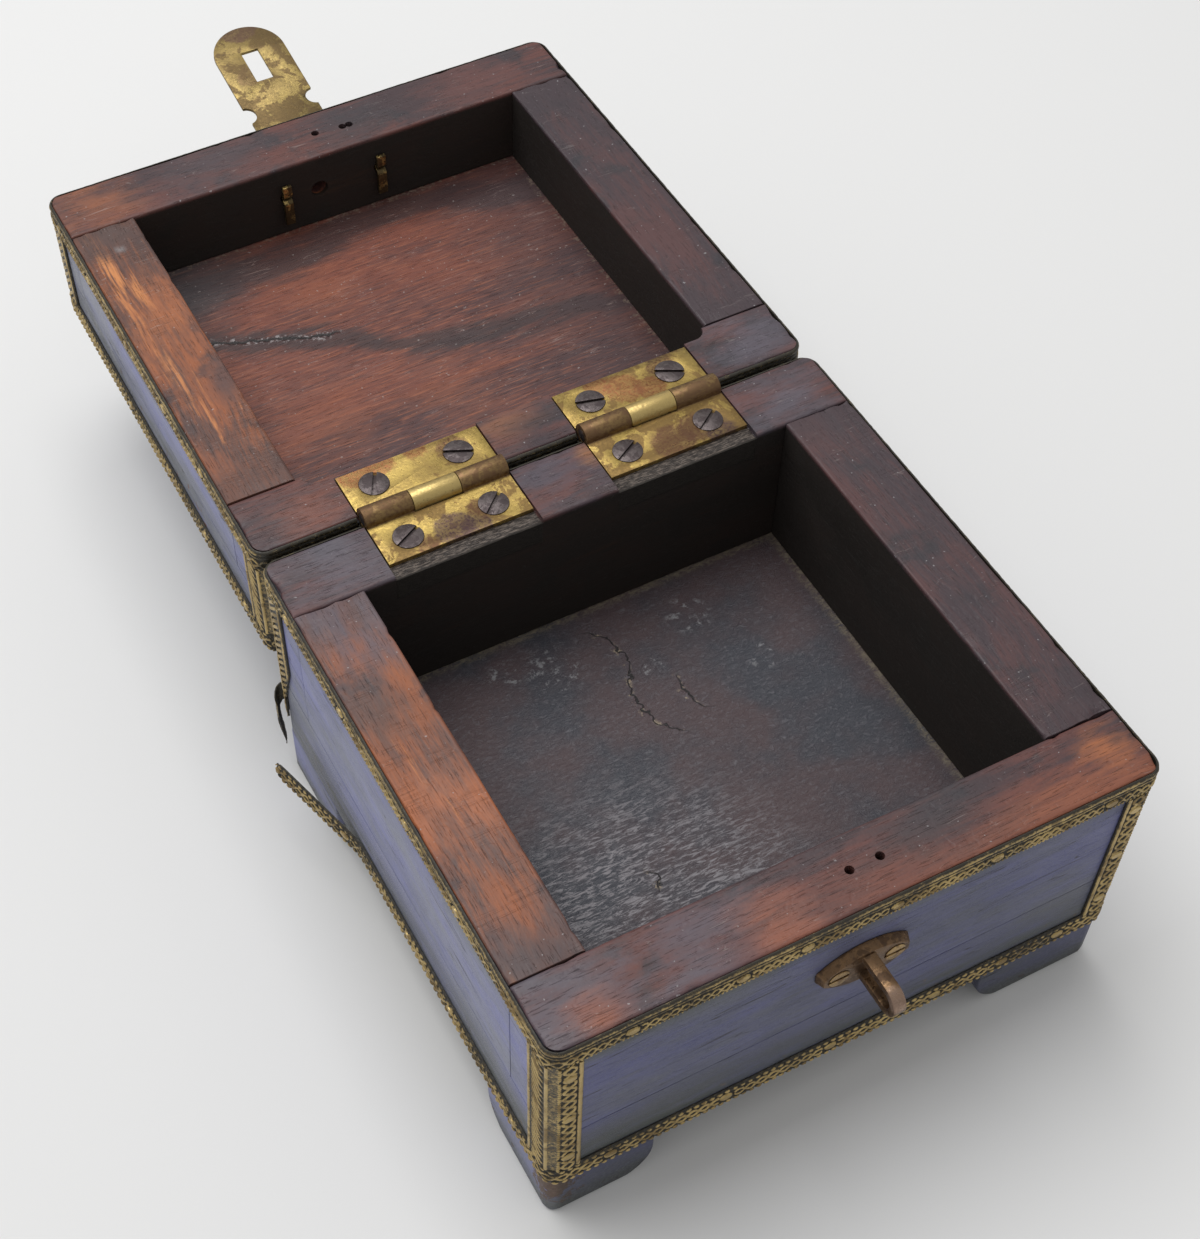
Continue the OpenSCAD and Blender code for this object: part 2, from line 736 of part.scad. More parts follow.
module lid_corner_front_left() placed() color("#93823f") lid_corner(-1, 1);

module lid_corner_front_right() placed() color("#93823f") lid_corner(1, 1);

module lid_corner_back_left() placed() color("#93823f") lid_corner(-1, 0);

module lid_corner_back_right() placed() color("#93823f") lid_corner(1, 0);

// A split pin: an eye round the hasp's pin, two legs through the wall, and their ends bent apart
module split_pin(side) {
    leg_y = -hasp_off - wall;
    translate([lock_x + side * split_x - split_w / 2, hasp_axis_y, hasp_axis_z]) {
        difference() {
            union() {
                rotate([0, 90, 0]) cylinder(h = split_w, r = eye_r);
                for (up = [0, 1]) {
                    mirror([0, 0, up]) translate([0, leg_y, -split_gap / 2 - split_t])
                        cube([split_w, -leg_y - hasp_bore_r, split_t]);
                }
            }
            translate([-past, 0, 0]) rotate([0, 90, 0]) cylinder(h = split_w + 2 * past, r = hasp_bore_r);
        }
        for (up = [0, 1]) {
            mirror([0, 0, up ? 0 : 1]) translate([0, leg_y, split_gap / 2]) leg_end(up ? leg_up : leg_down);
        }
    }
}

// The bent end of a leg, which leaves the wall and turns along it
module leg_end(length) {
    outer_r = leg_bend_r + split_t;
    translate([split_w, 0, outer_r]) rotate([0, -90, 0]) linear_extrude(split_w) {
        intersection() {
            difference() {
                circle(outer_r);
                circle(leg_bend_r);
            }
            translate([-outer_r, -outer_r]) square(outer_r);
        }
        translate([0, -outer_r]) square([length - outer_r, split_t]);
    }
}

module split_pin_left() placed() color("#a88d45") split_pin(-1);

module split_pin_right() placed() color("#a88d45") split_pin(1);

// The hasp's pin, held by the eyes of the two split pins
module hasp_pin() placed() color("#8a6f3a") {
    pin_len = 2 * (split_x + pin_end) + split_w;
    translate([lock_x - pin_len / 2, hasp_axis_y, hasp_axis_z]) rotate([0, 90, 0])
        cylinder(h = pin_len, r = hasp_pin_r);
}

// Outline of the hasp from its axis: a waisted root, straight sides, a round end and a slot
module hasp_outline() {
    difference() {
        union() {
            translate([-hasp_root_w / 2, 0]) square([hasp_root_w, notch_s]);
            translate([-hasp_w / 2, notch_s]) square([hasp_w, hasp_len - hasp_end_r - notch_s]);
            translate([0, hasp_len - hasp_end_r]) circle(hasp_end_r);
        }
        for (side = [-1, 1]) {
            translate([side * (hasp_w / 2 + notch_out), notch_s]) circle(notch_r);
        }
        translate([-slot_w / 2, slot_s - slot_len / 2]) square([slot_w, slot_len]);
    }
}

module hasp_plate() placed() color("#a3893f") {
    translate([lock_x, hasp_axis_y, hasp_axis_z]) rotate([hasp_rise, 0, 0]) difference() {
        union() {
            translate([-hasp_root_w / 2, 0, 0]) rotate([0, 90, 0])
                cylinder(h = hasp_root_w, r = hasp_knuckle_r);
            translate([0, 0, -hasp_knuckle_r]) linear_extrude(hasp_t) hasp_outline();
        }
        translate([-hasp_w, 0, 0]) rotate([0, 90, 0]) cylinder(h = 2 * hasp_w, r = hasp_bore_r);
    }
}

base_front_wall();
base_back_wall();
base_left_wall();
base_right_wall();
base_bottom_board();
foot_front_left();
foot_front_right();
foot_back_left();
foot_back_right();
base_rim_band();
base_plinth_band();
base_corner_front_left();
base_corner_front_right();
base_corner_back_left();
base_corner_back_right();
hinge_base_leaf_left();
hinge_base_leaf_right();
hinge_pin_left();
hinge_pin_right();
base_hinge_screws();
staple();
staple_screws();
lid_front_wall();
lid_back_wall();
lid_left_wall();
lid_right_wall();
lid_top_board();
lid_rim_band();
lid_board_band();
lid_corner_front_left();
lid_corner_front_right();
lid_corner_back_left();
lid_corner_back_right();
hinge_lid_leaf_left();
hinge_lid_leaf_right();
lid_hinge_screws();
split_pin_left();
split_pin_right();
hasp_pin();
hasp_plate();
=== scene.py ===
# %% [markdown]
# # An old wooden box, standing open
# This script dresses a small wooden box with brass edge strips, two butt hinges, a hasp and a staple.
# The engineering model is loaded first. It stays where it is, and every new surface is made round it.
# Each cell below says what a piece is on the real box, how it could be made, and why it is made this way.

# %% Load the frame
import math

import bmesh
import bpy
import numpy as np
from mathutils import Matrix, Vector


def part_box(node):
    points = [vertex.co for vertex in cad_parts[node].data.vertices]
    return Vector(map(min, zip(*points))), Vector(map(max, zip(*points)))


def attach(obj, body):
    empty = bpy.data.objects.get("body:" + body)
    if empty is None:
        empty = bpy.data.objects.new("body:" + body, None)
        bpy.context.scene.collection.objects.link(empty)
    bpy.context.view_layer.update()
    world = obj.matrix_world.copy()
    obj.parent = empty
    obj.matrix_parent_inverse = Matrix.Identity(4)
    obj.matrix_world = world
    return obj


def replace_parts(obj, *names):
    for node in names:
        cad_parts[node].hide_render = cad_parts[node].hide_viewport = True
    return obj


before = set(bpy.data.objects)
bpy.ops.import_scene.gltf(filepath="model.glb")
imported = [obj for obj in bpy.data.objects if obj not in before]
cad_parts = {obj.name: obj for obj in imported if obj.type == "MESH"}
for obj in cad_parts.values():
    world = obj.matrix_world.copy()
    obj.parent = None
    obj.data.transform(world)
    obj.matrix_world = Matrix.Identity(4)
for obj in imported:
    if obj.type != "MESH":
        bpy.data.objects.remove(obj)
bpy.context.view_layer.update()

# %% [markdown]
# ## Working in millimetres
# Blender's unit is the metre, but the grain, the ribs and the scratches of this box are millimetres wide.
# Shapes are therefore worked out in millimetres and divided by a thousand when they become a mesh.
# The sizes of the wooden parts are read from the frame, so that they are written only once.

# %% Sizes in millimetres
MM = 1000.0


def box_mm(*names):
    """Lowest and highest corner of one or more nodes together, in millimetres."""
    corners = [np.array(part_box(name)) * MM for name in names]
    return np.min([c[0] for c in corners], axis=0), np.max([c[1] for c in corners], axis=0)


BASE_LOW, BASE_HIGH = box_mm("base_front_wall", "base_back_wall", "base_bottom_board")
LID_LOW, LID_HIGH = box_mm("lid_front_wall", "lid_back_wall", "lid_top_board")
WALL = box_mm("base_left_wall")[1][0] - BASE_LOW[0]
RIM = BASE_HIGH[2]
CORNER_R = 3.5
HOME = np.array([(BASE_LOW[0] + BASE_HIGH[0]) / 2, BASE_LOW[1], 0.0])


def spot(x, y, z):
    """A place measured from the middle of the base's front edge, at the height of the feet."""
    return tuple(HOME + np.array([x, y, z]))


ROOMS = {}
for half, near_wall, far_wall in (("base", "base_front_wall", "base_back_wall"),
                                  ("lid", "hinge_lid_leaf_left", "lid_front_wall")):
    low = np.array([box_mm(half + "_left_wall")[1][0], box_mm(near_wall)[1][1], 0.0])
    high = np.array([box_mm(half + "_right_wall")[0][0], box_mm(far_wall)[0][1], 2 * RIM])
    ROOMS[half] = (tuple((low + high) / 2), tuple((high - low) / 2))
print("base", (BASE_HIGH - BASE_LOW).round(1), "wall", WALL.round(1), "rim at", RIM.round(1))

# %% [markdown]
# ## The camera
# The photograph was taken by hand from the front left and from above, with a moderate lens. The edges of
# the box give eight long straight lines in three square directions, and those fix the lens, the place and
# the turn of the camera. The picture is cut from a larger one, so its middle is not the lens's middle.
# Blender's lens shift takes up that difference, and the verticals lean as they do in the photograph.

# %% Camera
PHOTO_W, PHOTO_H = 1200, 1239
FOCAL_PX = 2087.65
CENTRE_X, CENTRE_Y = 517.29, 709.78
CAMERA_AT = (-0.161033, -0.329401, 0.449002)
LOOK_RIGHT = (0.88809329, -0.45960272, -0.00746042)
LOOK_DOWN = (-0.37345379, -0.71197439, -0.59466354)
LOOK_ALONG = (0.26799735, 0.53090282, -0.80394006)


def add_camera():
    """A pinhole camera: its focal length and its centre are pixels of the photograph turned into the
    sensor's units."""
    data = bpy.data.cameras.new("camera")
    data.sensor_fit = "HORIZONTAL"
    data.sensor_width = 36.0
    data.lens = FOCAL_PX * data.sensor_width / PHOTO_W
    data.shift_x = (PHOTO_W / 2 - CENTRE_X) / PHOTO_W
    data.shift_y = (CENTRE_Y - PHOTO_H / 2) / PHOTO_W
    camera = bpy.data.objects.new("camera", data)
    bpy.context.scene.collection.objects.link(camera)
    axes = Matrix([LOOK_RIGHT, [-v for v in LOOK_DOWN], [-v for v in LOOK_ALONG]]).transposed()
    camera.matrix_world = Matrix.Translation(CAMERA_AT) @ axes.to_4x4()
    bpy.context.scene.camera = camera
    return camera


camera = add_camera()
print("lens", round(camera.data.lens, 2), "mm")

# %% [markdown]
# ## Light, floor and backdrop
# The light in the photograph is wide and soft and comes from above, a little from behind. It leaves a
# greyish sheen on every level face and lets the front fall dark. One large lamp above the box and an even
# sky do that, and painted sheen on the rims and painted shade on the front faces add to it. The lamp and
# the sky together are set so that a colour on a level face renders about as it is written.

# %% Light and floor
LAMP_WAY = np.array([-0.13, 0.30, 0.95])
LAMP_FAR = 1.5
LAMP_SIZE = (1.3, 1.1)
LAMP_POWER = 16.5
SKY = 0.52


def add_light():
    """A rectangular lamp that faces the middle of the box, and a plain sky."""
    data = bpy.data.lights.new("lamp", "AREA")
    data.shape = "RECTANGLE"
    data.size, data.size_y = LAMP_SIZE
    data.energy = LAMP_POWER
    lamp = bpy.data.objects.new("lamp", data)
    bpy.context.scene.collection.objects.link(lamp)
    way = LAMP_WAY / np.linalg.norm(LAMP_WAY)
    side = np.cross([0.0, 1.0, 0.0], way)
    side /= np.linalg.norm(side)
    axes = Matrix([side, np.cross(way, side), way]).transposed()
    lamp.matrix_world = Matrix.Translation(way * LAMP_FAR) @ axes.to_4x4()
    world = bpy.data.worlds.new("sky")
    bpy.context.scene.world = world
    world.use_nodes = True
    world.node_tree.nodes["Background"].inputs["Color"].default_value = (1.0, 1.0, 1.0, 1.0)
    world.node_tree.nodes["Background"].inputs["Strength"].default_value = SKY


def add_floor():
    """A square pale sheet under the box."""
    half = 2.5
    mesh = bpy.data.meshes.new("floor")
    mesh.from_pydata([(-half, -half, 0), (half, -half, 0), (half, half, 0), (-half, half, 0)], [],
                     [(0, 1, 2, 3)])
    floor = bpy.data.objects.new("floor", mesh)
    bpy.context.scene.collection.objects.link(floor)
    material = bpy.data.materials.new("pale floor")
    material.use_nodes = True
    shader = material.node_tree.nodes["Principled BSDF"]
    shader.inputs["Base Color"].default_value = (0.76, 0.76, 0.755, 1.0)
    shader.inputs["Roughness"].default_value = 0.8
    shader.inputs["Specular IOR Level"].default_value = 0.2
    mesh.materials.append(material)


bpy.context.scene.view_settings.view_transform = "Standard"
add_light()
add_floor()
print("lamp", LAMP_POWER, "W, sky", SKY)

# %% [markdown]
# ## Helpers for shapes
# Old wood and hammered brass are never flat. Their unevenness is smooth noise: random numbers on a lattice,
# blended between the eight nearest. It is worked out for all points at once with numpy.
# A mesh is then made from arrays of points and faces, and edges sharper than a set angle stay sharp.

# %% Shape helpers
LATTICE = np.random.default_rng(11).random((32, 32, 32))


def noise3(points, size, seed=0):
    """Smooth noise from 0 to 1. Lattice numbers stand size millimetres apart, and between them the noise
    follows 3f^2 - 2f^3 of the fraction f along each axis."""
    grid = points / size + np.array([seed * 7.31, seed * 3.17, seed * 5.73])
    cell = np.floor(grid).astype(int)
    part = grid - cell
    part = part * part * (3 - 2 * part)
    total = np.zeros(points.shape[:-1])
    for corner in np.ndindex(2, 2, 2):
        where = (cell + corner) % 32
        weight = np.prod(np.where(np.array(corner) == 1, part, 1 - part), axis=-1)
        total += weight * LATTICE[where[..., 0], where[..., 1], where[..., 2]]
    return total


def smooth_step(low, high, value):
    """0 below low, 1 above high, and 3f^2 - 2f^3 of the fraction between them."""
    part = np.clip((value - low) / (high - low), 0, 1)
    return part * part * (3 - 2 * part)


def make_piece(name, points, faces, body, material, sharp=35, **attributes):
    """Makes a mesh object from points in millimetres and rides it on a body. Attributes are one number a
    point."""
    mesh = bpy.data.meshes.new(name)
    mesh.from_pydata((np.asarray(points) / MM).tolist(), [], [list(f) for f in faces])
    for key, values in attributes.items():
        layer = mesh.attributes.new(key, "FLOAT", "POINT")
        layer.data.foreach_set("value", np.asarray(values, np.float32).ravel())
    shade(mesh, sharp)
    piece = bpy.data.objects.new(name, mesh)
    bpy.context.scene.collection.objects.link(piece)
    mesh.materials.append(material)
    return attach(piece, body)


def shade(mesh, sharp):
    """Smooth shading, broken at edges that turn by more than sharp degrees."""
    mesh.validate()
    mesh.shade_smooth()
    mesh.set_sharp_from_angle(angle=math.radians(sharp))


def merged_copy(node):
    """A mesh like the node's own, with its loose triangles joined and its flat faces made whole."""
    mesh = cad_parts[node].data.copy()
    if "custom_normal" in mesh.attributes:
        mesh.attributes.remove(mesh.attributes["custom_normal"])
    shape = bmesh.new()
    shape.from_mesh(mesh)
    bmesh.ops.remove_doubles(shape, verts=shape.verts, dist=0.002 / MM)
    flat = math.radians(0.6)
    bmesh.ops.dissolve_limit(shape, angle_limit=flat, verts=shape.verts, edges=shape.edges)
    bmesh.ops.recalc_face_normals(shape, faces=shape.faces)
    shape.to_mesh(mesh)
    shape.free()
    mesh.materials.clear()
    return mesh


def baked(piece):
    """Applies the modifiers of a piece to its mesh."""
    depsgraph = bpy.context.evaluated_depsgraph_get()
    mesh = bpy.data.meshes.new_from_object(piece.evaluated_get(depsgraph))
    piece.modifiers.clear()
    piece.data = mesh
    return piece


def softened(node, body, material, width=0.2, segments=2, sharp=30, name=None):
    """A node's merged copy whose edges are rounded by a bevel of that many millimetres."""
    mesh = merged_copy(node)
    piece = bpy.data.objects.new(name or node + "_worn", mesh)
    bpy.context.scene.collection.objects.link(piece)
    mesh.materials.append(material)
    bevel = piece.modifiers.new("soft edges", "BEVEL")
    bevel.width = width / MM
    bevel.segments = segments
    bevel.limit_method = "ANGLE"
    bevel.angle_limit = math.radians(28)
    bevel.use_clamp_overlap = True
    baked(piece)
    places = np.empty(len(piece.data.vertices) * 3, np.float32)
    piece.data.vertices.foreach_get("co", places)
    low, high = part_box(node)
    piece.data.vertices.foreach_set("co", np.clip(places.reshape(-1, 3), low, high).ravel())
    shade(piece.data, sharp)
    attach(piece, body)
    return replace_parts(piece, node)


print("lattice", LATTICE.shape)

# %% [markdown]
# ## Helpers for materials
# A shader is a graph of nodes. These few functions add one node each and return its output, so that a
# material reads as a formula. Shared effects are node groups: they are built once, and each material sets
# their inputs.

# %% Node helpers
def put(tree, kind, inputs=None, **settings):
    """Adds a node, sets its options, and fills its inputs with values or with links to other outputs."""
    node = tree.nodes.new(kind)
    for key, value in settings.items():
        setattr(node, key, value)
    for key, value in (inputs or {}).items():
        if isinstance(value, bpy.types.NodeSocket):
            tree.links.new(value, node.inputs[key])
        else:
            node.inputs[key].default_value = value
    return node


def maths(tree, operation, a, b=0.0):
    """One sum on numbers."""
    return put(tree, "ShaderNodeMath", {0: a, 1: b}, operation=operation).outputs[0]


def minus(tree, a, b):
    """The first value less the second."""
    return maths(tree, "SUBTRACT", a, b)


def apart(tree, a, b):
    """How far two numbers are apart."""
    return maths(tree, "ABSOLUTE", minus(tree, a, b))


def plus(tree, first, *more):
    """The sum of all the values."""
    for value in more:
        first = maths(tree, "ADD", first, value)
    return first


def times(tree, first, *more):
    """The product of all the values."""
    for value in more:
        first = maths(tree, "MULTIPLY", first, value)
    return first


def largest(tree, first, *more):
    """The largest of the values."""
    for value in more:
        first = maths(tree, "MAXIMUM", first, value)
    return first


def swing(tree, value, size):
    """A noise from 0 to 1 turned into a push to both sides: its distance above a half, times the size."""
    return times(tree, minus(tree, value, 0.5), size)


def step(tree, value, low, high, to_low=0.0, to_high=1.0):
    """A smooth step of a value between two limits."""
    inputs = {"Value": value, 1: low, 2: high, 3: to_low, 4: to_high}
    return put(tree, "ShaderNodeMapRange", inputs, interpolation_type="SMOOTHSTEP").outputs[0]


def mix(tree, factor, a, b, blend="MIX"):
    """Mixes two colours."""
    a = a if isinstance(a, bpy.types.NodeSocket) else (*a, 1.0)
    b = b if isinstance(b, bpy.types.NodeSocket) else (*b, 1.0)
    inputs = {"Factor": factor, 6: a, 7: b}
    return put(tree, "ShaderNodeMix", inputs, data_type="RGBA", blend_type=blend).outputs[2]


def noise(tree, vector, scale, detail=3.0, rough=0.55, warp=0.0):
    """Cloud noise, from about 0.2 to 0.8."""
    inputs = {"Vector": vector, "Scale": scale, "Detail": detail, "Roughness": rough, "Distortion": warp}
    return put(tree, "ShaderNodeTexNoise", inputs).outputs[0]


def stretch(tree, vector, scale, turn=(0.0, 0.0, 0.0), shift=(0.0, 0.0, 0.0)):
    """Moves, turns and stretches a pattern's coordinates."""
    inputs = {"Vector": vector, "Scale": scale, "Rotation": turn, "Location": shift}
    return put(tree, "ShaderNodeMapping", inputs).outputs[0]


def millimetres(tree):
    """The object's own coordinates in millimetres."""
    place = put(tree, "ShaderNodeTexCoord").outputs["Object"]
    return put(tree, "ShaderNodeVectorMath", {0: place, "Scale": MM}, operation="SCALE").outputs[0]


def split(tree, vector):
    """The three numbers of a vector."""
    return put(tree, "ShaderNodeSeparateXYZ", {0: vector}).outputs


def between(tree, a, b):
    """The vector from b to a."""
    return put(tree, "ShaderNodeVectorMath", {0: a, 1: b}, operation="SUBTRACT").outputs[0]


def distance(tree, a, b):
    """How far two places are apart."""
    return put(tree, "ShaderNodeVectorMath", {0: a, 1: b}, operation="DISTANCE").outputs["Value"]


def past_box(tree, place, centre, half):
    """How far a place lies past the faces of a box, along each axis. It is less than zero inside."""
    away = put(tree, "ShaderNodeVectorMath", {0: between(tree, place, centre)},
               operation="ABSOLUTE").outputs[0]
    return split(tree, between(tree, away, half))


def attribute(tree, name):
    """A number that the mesh carries at each point."""
    return put(tree, "ShaderNodeAttribute", attribute_name=name).outputs["Fac"]


def new_group(name, inputs, outputs):
    """An empty node group with named sockets. Inputs give their default value, outputs give their type."""
    tree = bpy.data.node_groups.new(name, "ShaderNodeTree")
    for key, value in inputs.items():
        kind = "NodeSocketVector" if isinstance(value, tuple) else "NodeSocketFloat"
        socket = tree.interface.new_socket(key, in_out="INPUT", socket_type=kind)
        socket.default_value = value
    for key, kind in outputs.items():
        tree.interface.new_socket(key, in_out="OUTPUT", socket_type="NodeSocket" + kind)
    return tree, put(tree, "NodeGroupInput").outputs, put(tree, "NodeGroupOutput").inputs


def use(tree, group, **inputs):
    """Places a node group in a material and returns its outputs."""
    node = tree.nodes.new("ShaderNodeGroup")
    node.node_tree = group
    for key, value in inputs.items():
        key = key.replace("_", " ")
        if isinstance(value, bpy.types.NodeSocket):
            tree.links.new(value, node.inputs[key])
        else:
            node.inputs[key].default_value = value
    return node.outputs


def new_material(name):
    """A material with an empty Principled shader. Returns the material, its tree and the shader."""
    material = bpy.data.materials.new(name)
    material.use_nodes = True
    tree = material.node_tree
    return material, tree, tree.nodes["Principled BSDF"]


def feed(tree, shader, **inputs):
    """Links or sets inputs of the shader."""
    for key, value in inputs.items():
        key = key.replace("_", " ")
        if isinstance(value, bpy.types.NodeSocket):
            tree.links.new(value, shader.inputs[key])
        else:
            shader.inputs[key].default_value = value


def bump(tree, height, distance, strength=1.0):
    """Turns a height from 0 to 1 into a normal. The distance is in millimetres."""
    inputs = {"Height": height, "Distance": distance / MM, "Strength": strength}
    return put(tree, "ShaderNodeBump", inputs).outputs[0]


def near(tree, place, spots, ragged, soft=False):
    """A mask for each spot, a place in millimetres and a radius. Its edge is pushed in and out by a noise,
    and a soft one fades over its whole width."""
    uneven = minus(tree, ragged, 0.5)
    inner, outer, push = (-0.2, 1.35, 3.2) if soft else (0.7, 1.15, 1.2)
    masks = []
    for centre, radius in spots:
        far = distance(tree, place, centre)
        far = plus(tree, far, times(tree, uneven, radius * push))
        masks.append(step(tree, far, radius * inner, radius * outer, 1.0, 0.0))
    return masks


def follow(tree, value, points):
    """A curve through points given as pairs in millimetres: the second number as a function of the first."""
    low, high = np.min(points, axis=0), np.max(points, axis=0)
    share = put(tree, "ShaderNodeMapRange", {"Value": value, 1: low[0], 2: high[0]}).outputs[0]
    node = put(tree, "ShaderNodeFloatCurve", {"Value": share})
    curve = node.mapping.curves[0]
    flat = ((np.array(points) - low) / (high - low)).tolist()
    curve.points[0].location, curve.points[1].location = flat[0], flat[-1]
    for pair in flat[1:-1]:
        curve.points.new(*pair)
    node.mapping.update()
    return put(tree, "ShaderNodeMapRange", {"Value": node.outputs[0], 3: low[1], 4: high[1]}).outputs[0]


print("helpers ready")

# %% [markdown]
# ## Shared effects
# Four effects come back in many finishes. The first says where a point lies on a box: how deep under the
# painted outer skin, how far from the hollow inside and how far below the rim. It rounds the upright
# corners as the wood does. The second is wood grain, the third is tarnish with its sharp-edged islands, and
# the fourth is fine scratches and dust. Each gives numbers only, and the materials turn them into colour,
# gloss and relief.

# %% Place on the box
def make_place_group():
    """Skin is the depth under the upright outer faces, up to the corner radius. Room is the distance from
    the hollow inside the walls, less than zero in it. Drop is the distance below the rim. All are in
    millimetres."""
    tree, given, result = new_group(
        "place on the box",
        {"Vector": (0.0, 0.0, 0.0), "Centre": (0.0, 0.0, 0.0), "Half": (75.0, 72.0, 78.0),
         "Room Centre": (0.0, 0.0, 0.0), "Room Half": (57.0, 54.0, 78.0)},
        {"Skin": "Float", "Room": "Float", "Drop": "Float"},
    )
    way = split(tree, between(tree, given["Vector"], given["Centre"]))
    half = split(tree, given["Half"])
    from_side = minus(tree, half[0], maths(tree, "ABSOLUTE", way[0]))
    from_end = minus(tree, half[1], maths(tree, "ABSOLUTE", way[1]))
    side_part = largest(tree, minus(tree, CORNER_R, from_side), 0.0)
    end_part = largest(tree, minus(tree, CORNER_R, from_end), 0.0)
    squares = plus(tree, maths(tree, "POWER", side_part, 2.0), maths(tree, "POWER", end_part, 2.0))
    tree.links.new(minus(tree, CORNER_R, maths(tree, "SQRT", squares)), result["Skin"])
    over = past_box(tree, given["Vector"], given["Room Centre"], given["Room Half"])
    tree.links.new(largest(tree, over[0], over[1]), result["Room"])
    tree.links.new(minus(tree, half[2], split(tree, given["Vector"])[2]), result["Drop"])
    return tree


def make_grain_group():
    """Wood with its grain along X: wide figure, narrow streaks and short pores, each a cloud drawn out
    along X."""
    tree, given, result = new_group(
        "wood grain",
        {"Vector": (0.0, 0.0, 0.0), "Wave": 1.0},
        {"Figure": "Float", "Streaks": "Float", "Pores": "Float", "Height": "Float"},
    )
    place = given["Vector"]
    bend = noise(tree, stretch(tree, place, (0.012, 0.03, 0.03)), 1.0, 2.0)
    push = swing(tree, bend, times(tree, given["Wave"], 40.0))
    shift = put(tree, "ShaderNodeCombineXYZ", {1: push, 2: push}).outputs[0]
    bent = put(tree, "ShaderNodeVectorMath", {0: place, 1: shift}, operation="ADD").outputs[0]
    figure = noise(tree, stretch(tree, bent, (0.010, 0.11, 0.11)), 1.0, 3.0)
    streaks = noise(tree, stretch(tree, bent, (0.030, 0.9, 0.9)), 1.0, 4.0, 0.65)
    pores = noise(tree, stretch(tree, place, (0.22, 3.4, 3.4)), 1.0, 2.0)
    dark = step(tree, pores, 0.60, 0.72)
    height = minus(tree, streaks, times(tree, dark, 0.8))
    tree.links.new(figure, result["Figure"])
    tree.links.new(streaks, result["Streaks"])
    tree.links.new(dark, result["Pores"])
    tree.links.new(height, result["Height"])
    return tree


def make_tarnish_group():
    """Islands of tarnish with clear edges, fine mottling and pits."""
    tree, given, result = new_group(
        "tarnish",
        {"Vector": (0.0, 0.0, 0.0), "Amount": 0.5, "Size": 6.0},
        {"Island": "Float", "Mottle": "Float", "Pits": "Float"},
    )
    size = maths(tree, "DIVIDE", 1.0, given["Size"])
    cloud = noise(tree, given["Vector"], size, 5.0, 0.62, 0.4)
    edge = minus(tree, 0.72, times(tree, given["Amount"], 0.44))
    inputs = {"Value": cloud, 1: edge, 2: plus(tree, edge, 0.035)}
    tree.links.new(put(tree, "ShaderNodeMapRange", inputs).outputs[0], result["Island"])
    tree.links.new(noise(tree, given["Vector"], 1.3, 4.0, 0.7), result["Mottle"])
    tree.links.new(step(tree, noise(tree, given["Vector"], 2.2, 2.0), 0.66, 0.74), result["Pits"])
    return tree


def make_wear_group():
    """Scratches are thin lines where two drawn-out clouds pass their middle value. Dust is small light
    specks."""
    tree, given, result = new_group(
        "scratches and dust",
        {"Vector": (0.0, 0.0, 0.0)},
        {"Scratches": "Float", "Dust": "Float", "Dents": "Float"},
    )
    lines = []
    for turn, shift in ((0.5, 0.0), (-0.9, 40.0), (1.45, 80.0)):
        turned = stretch(tree, given["Vector"], (0.035, 0.6, 0.6), (0.0, 0.0, turn), (shift, 0.0, 0.0))
        near = apart(tree, noise(tree, turned, 1.0, 1.0), 0.5)
        lines.append(step(tree, near, 0.0, 0.006, 1.0, 0.0))
    both = largest(tree, lines[0], lines[1], lines[2])
    thin = step(tree, noise(tree, given["Vector"], 0.12, 2.0), 0.45, 0.65)
    tree.links.new(times(tree, both, thin), result["Scratches"])
    tree.links.new(step(tree, noise(tree, given["Vector"], 0.95, 1.0), 0.73, 0.78), result["Dust"])
    tree.links.new(step(tree, noise(tree, given["Vector"], 0.28, 2.0), 0.62, 0.72), result["Dents"])
    return tree


PLACE = make_place_group()
GRAIN = make_grain_group()
TARNISH = make_tarnish_group()
WEAR = make_wear_group()
print("groups:", [g.name for g in (PLACE, GRAIN, TARNISH, WEAR)])
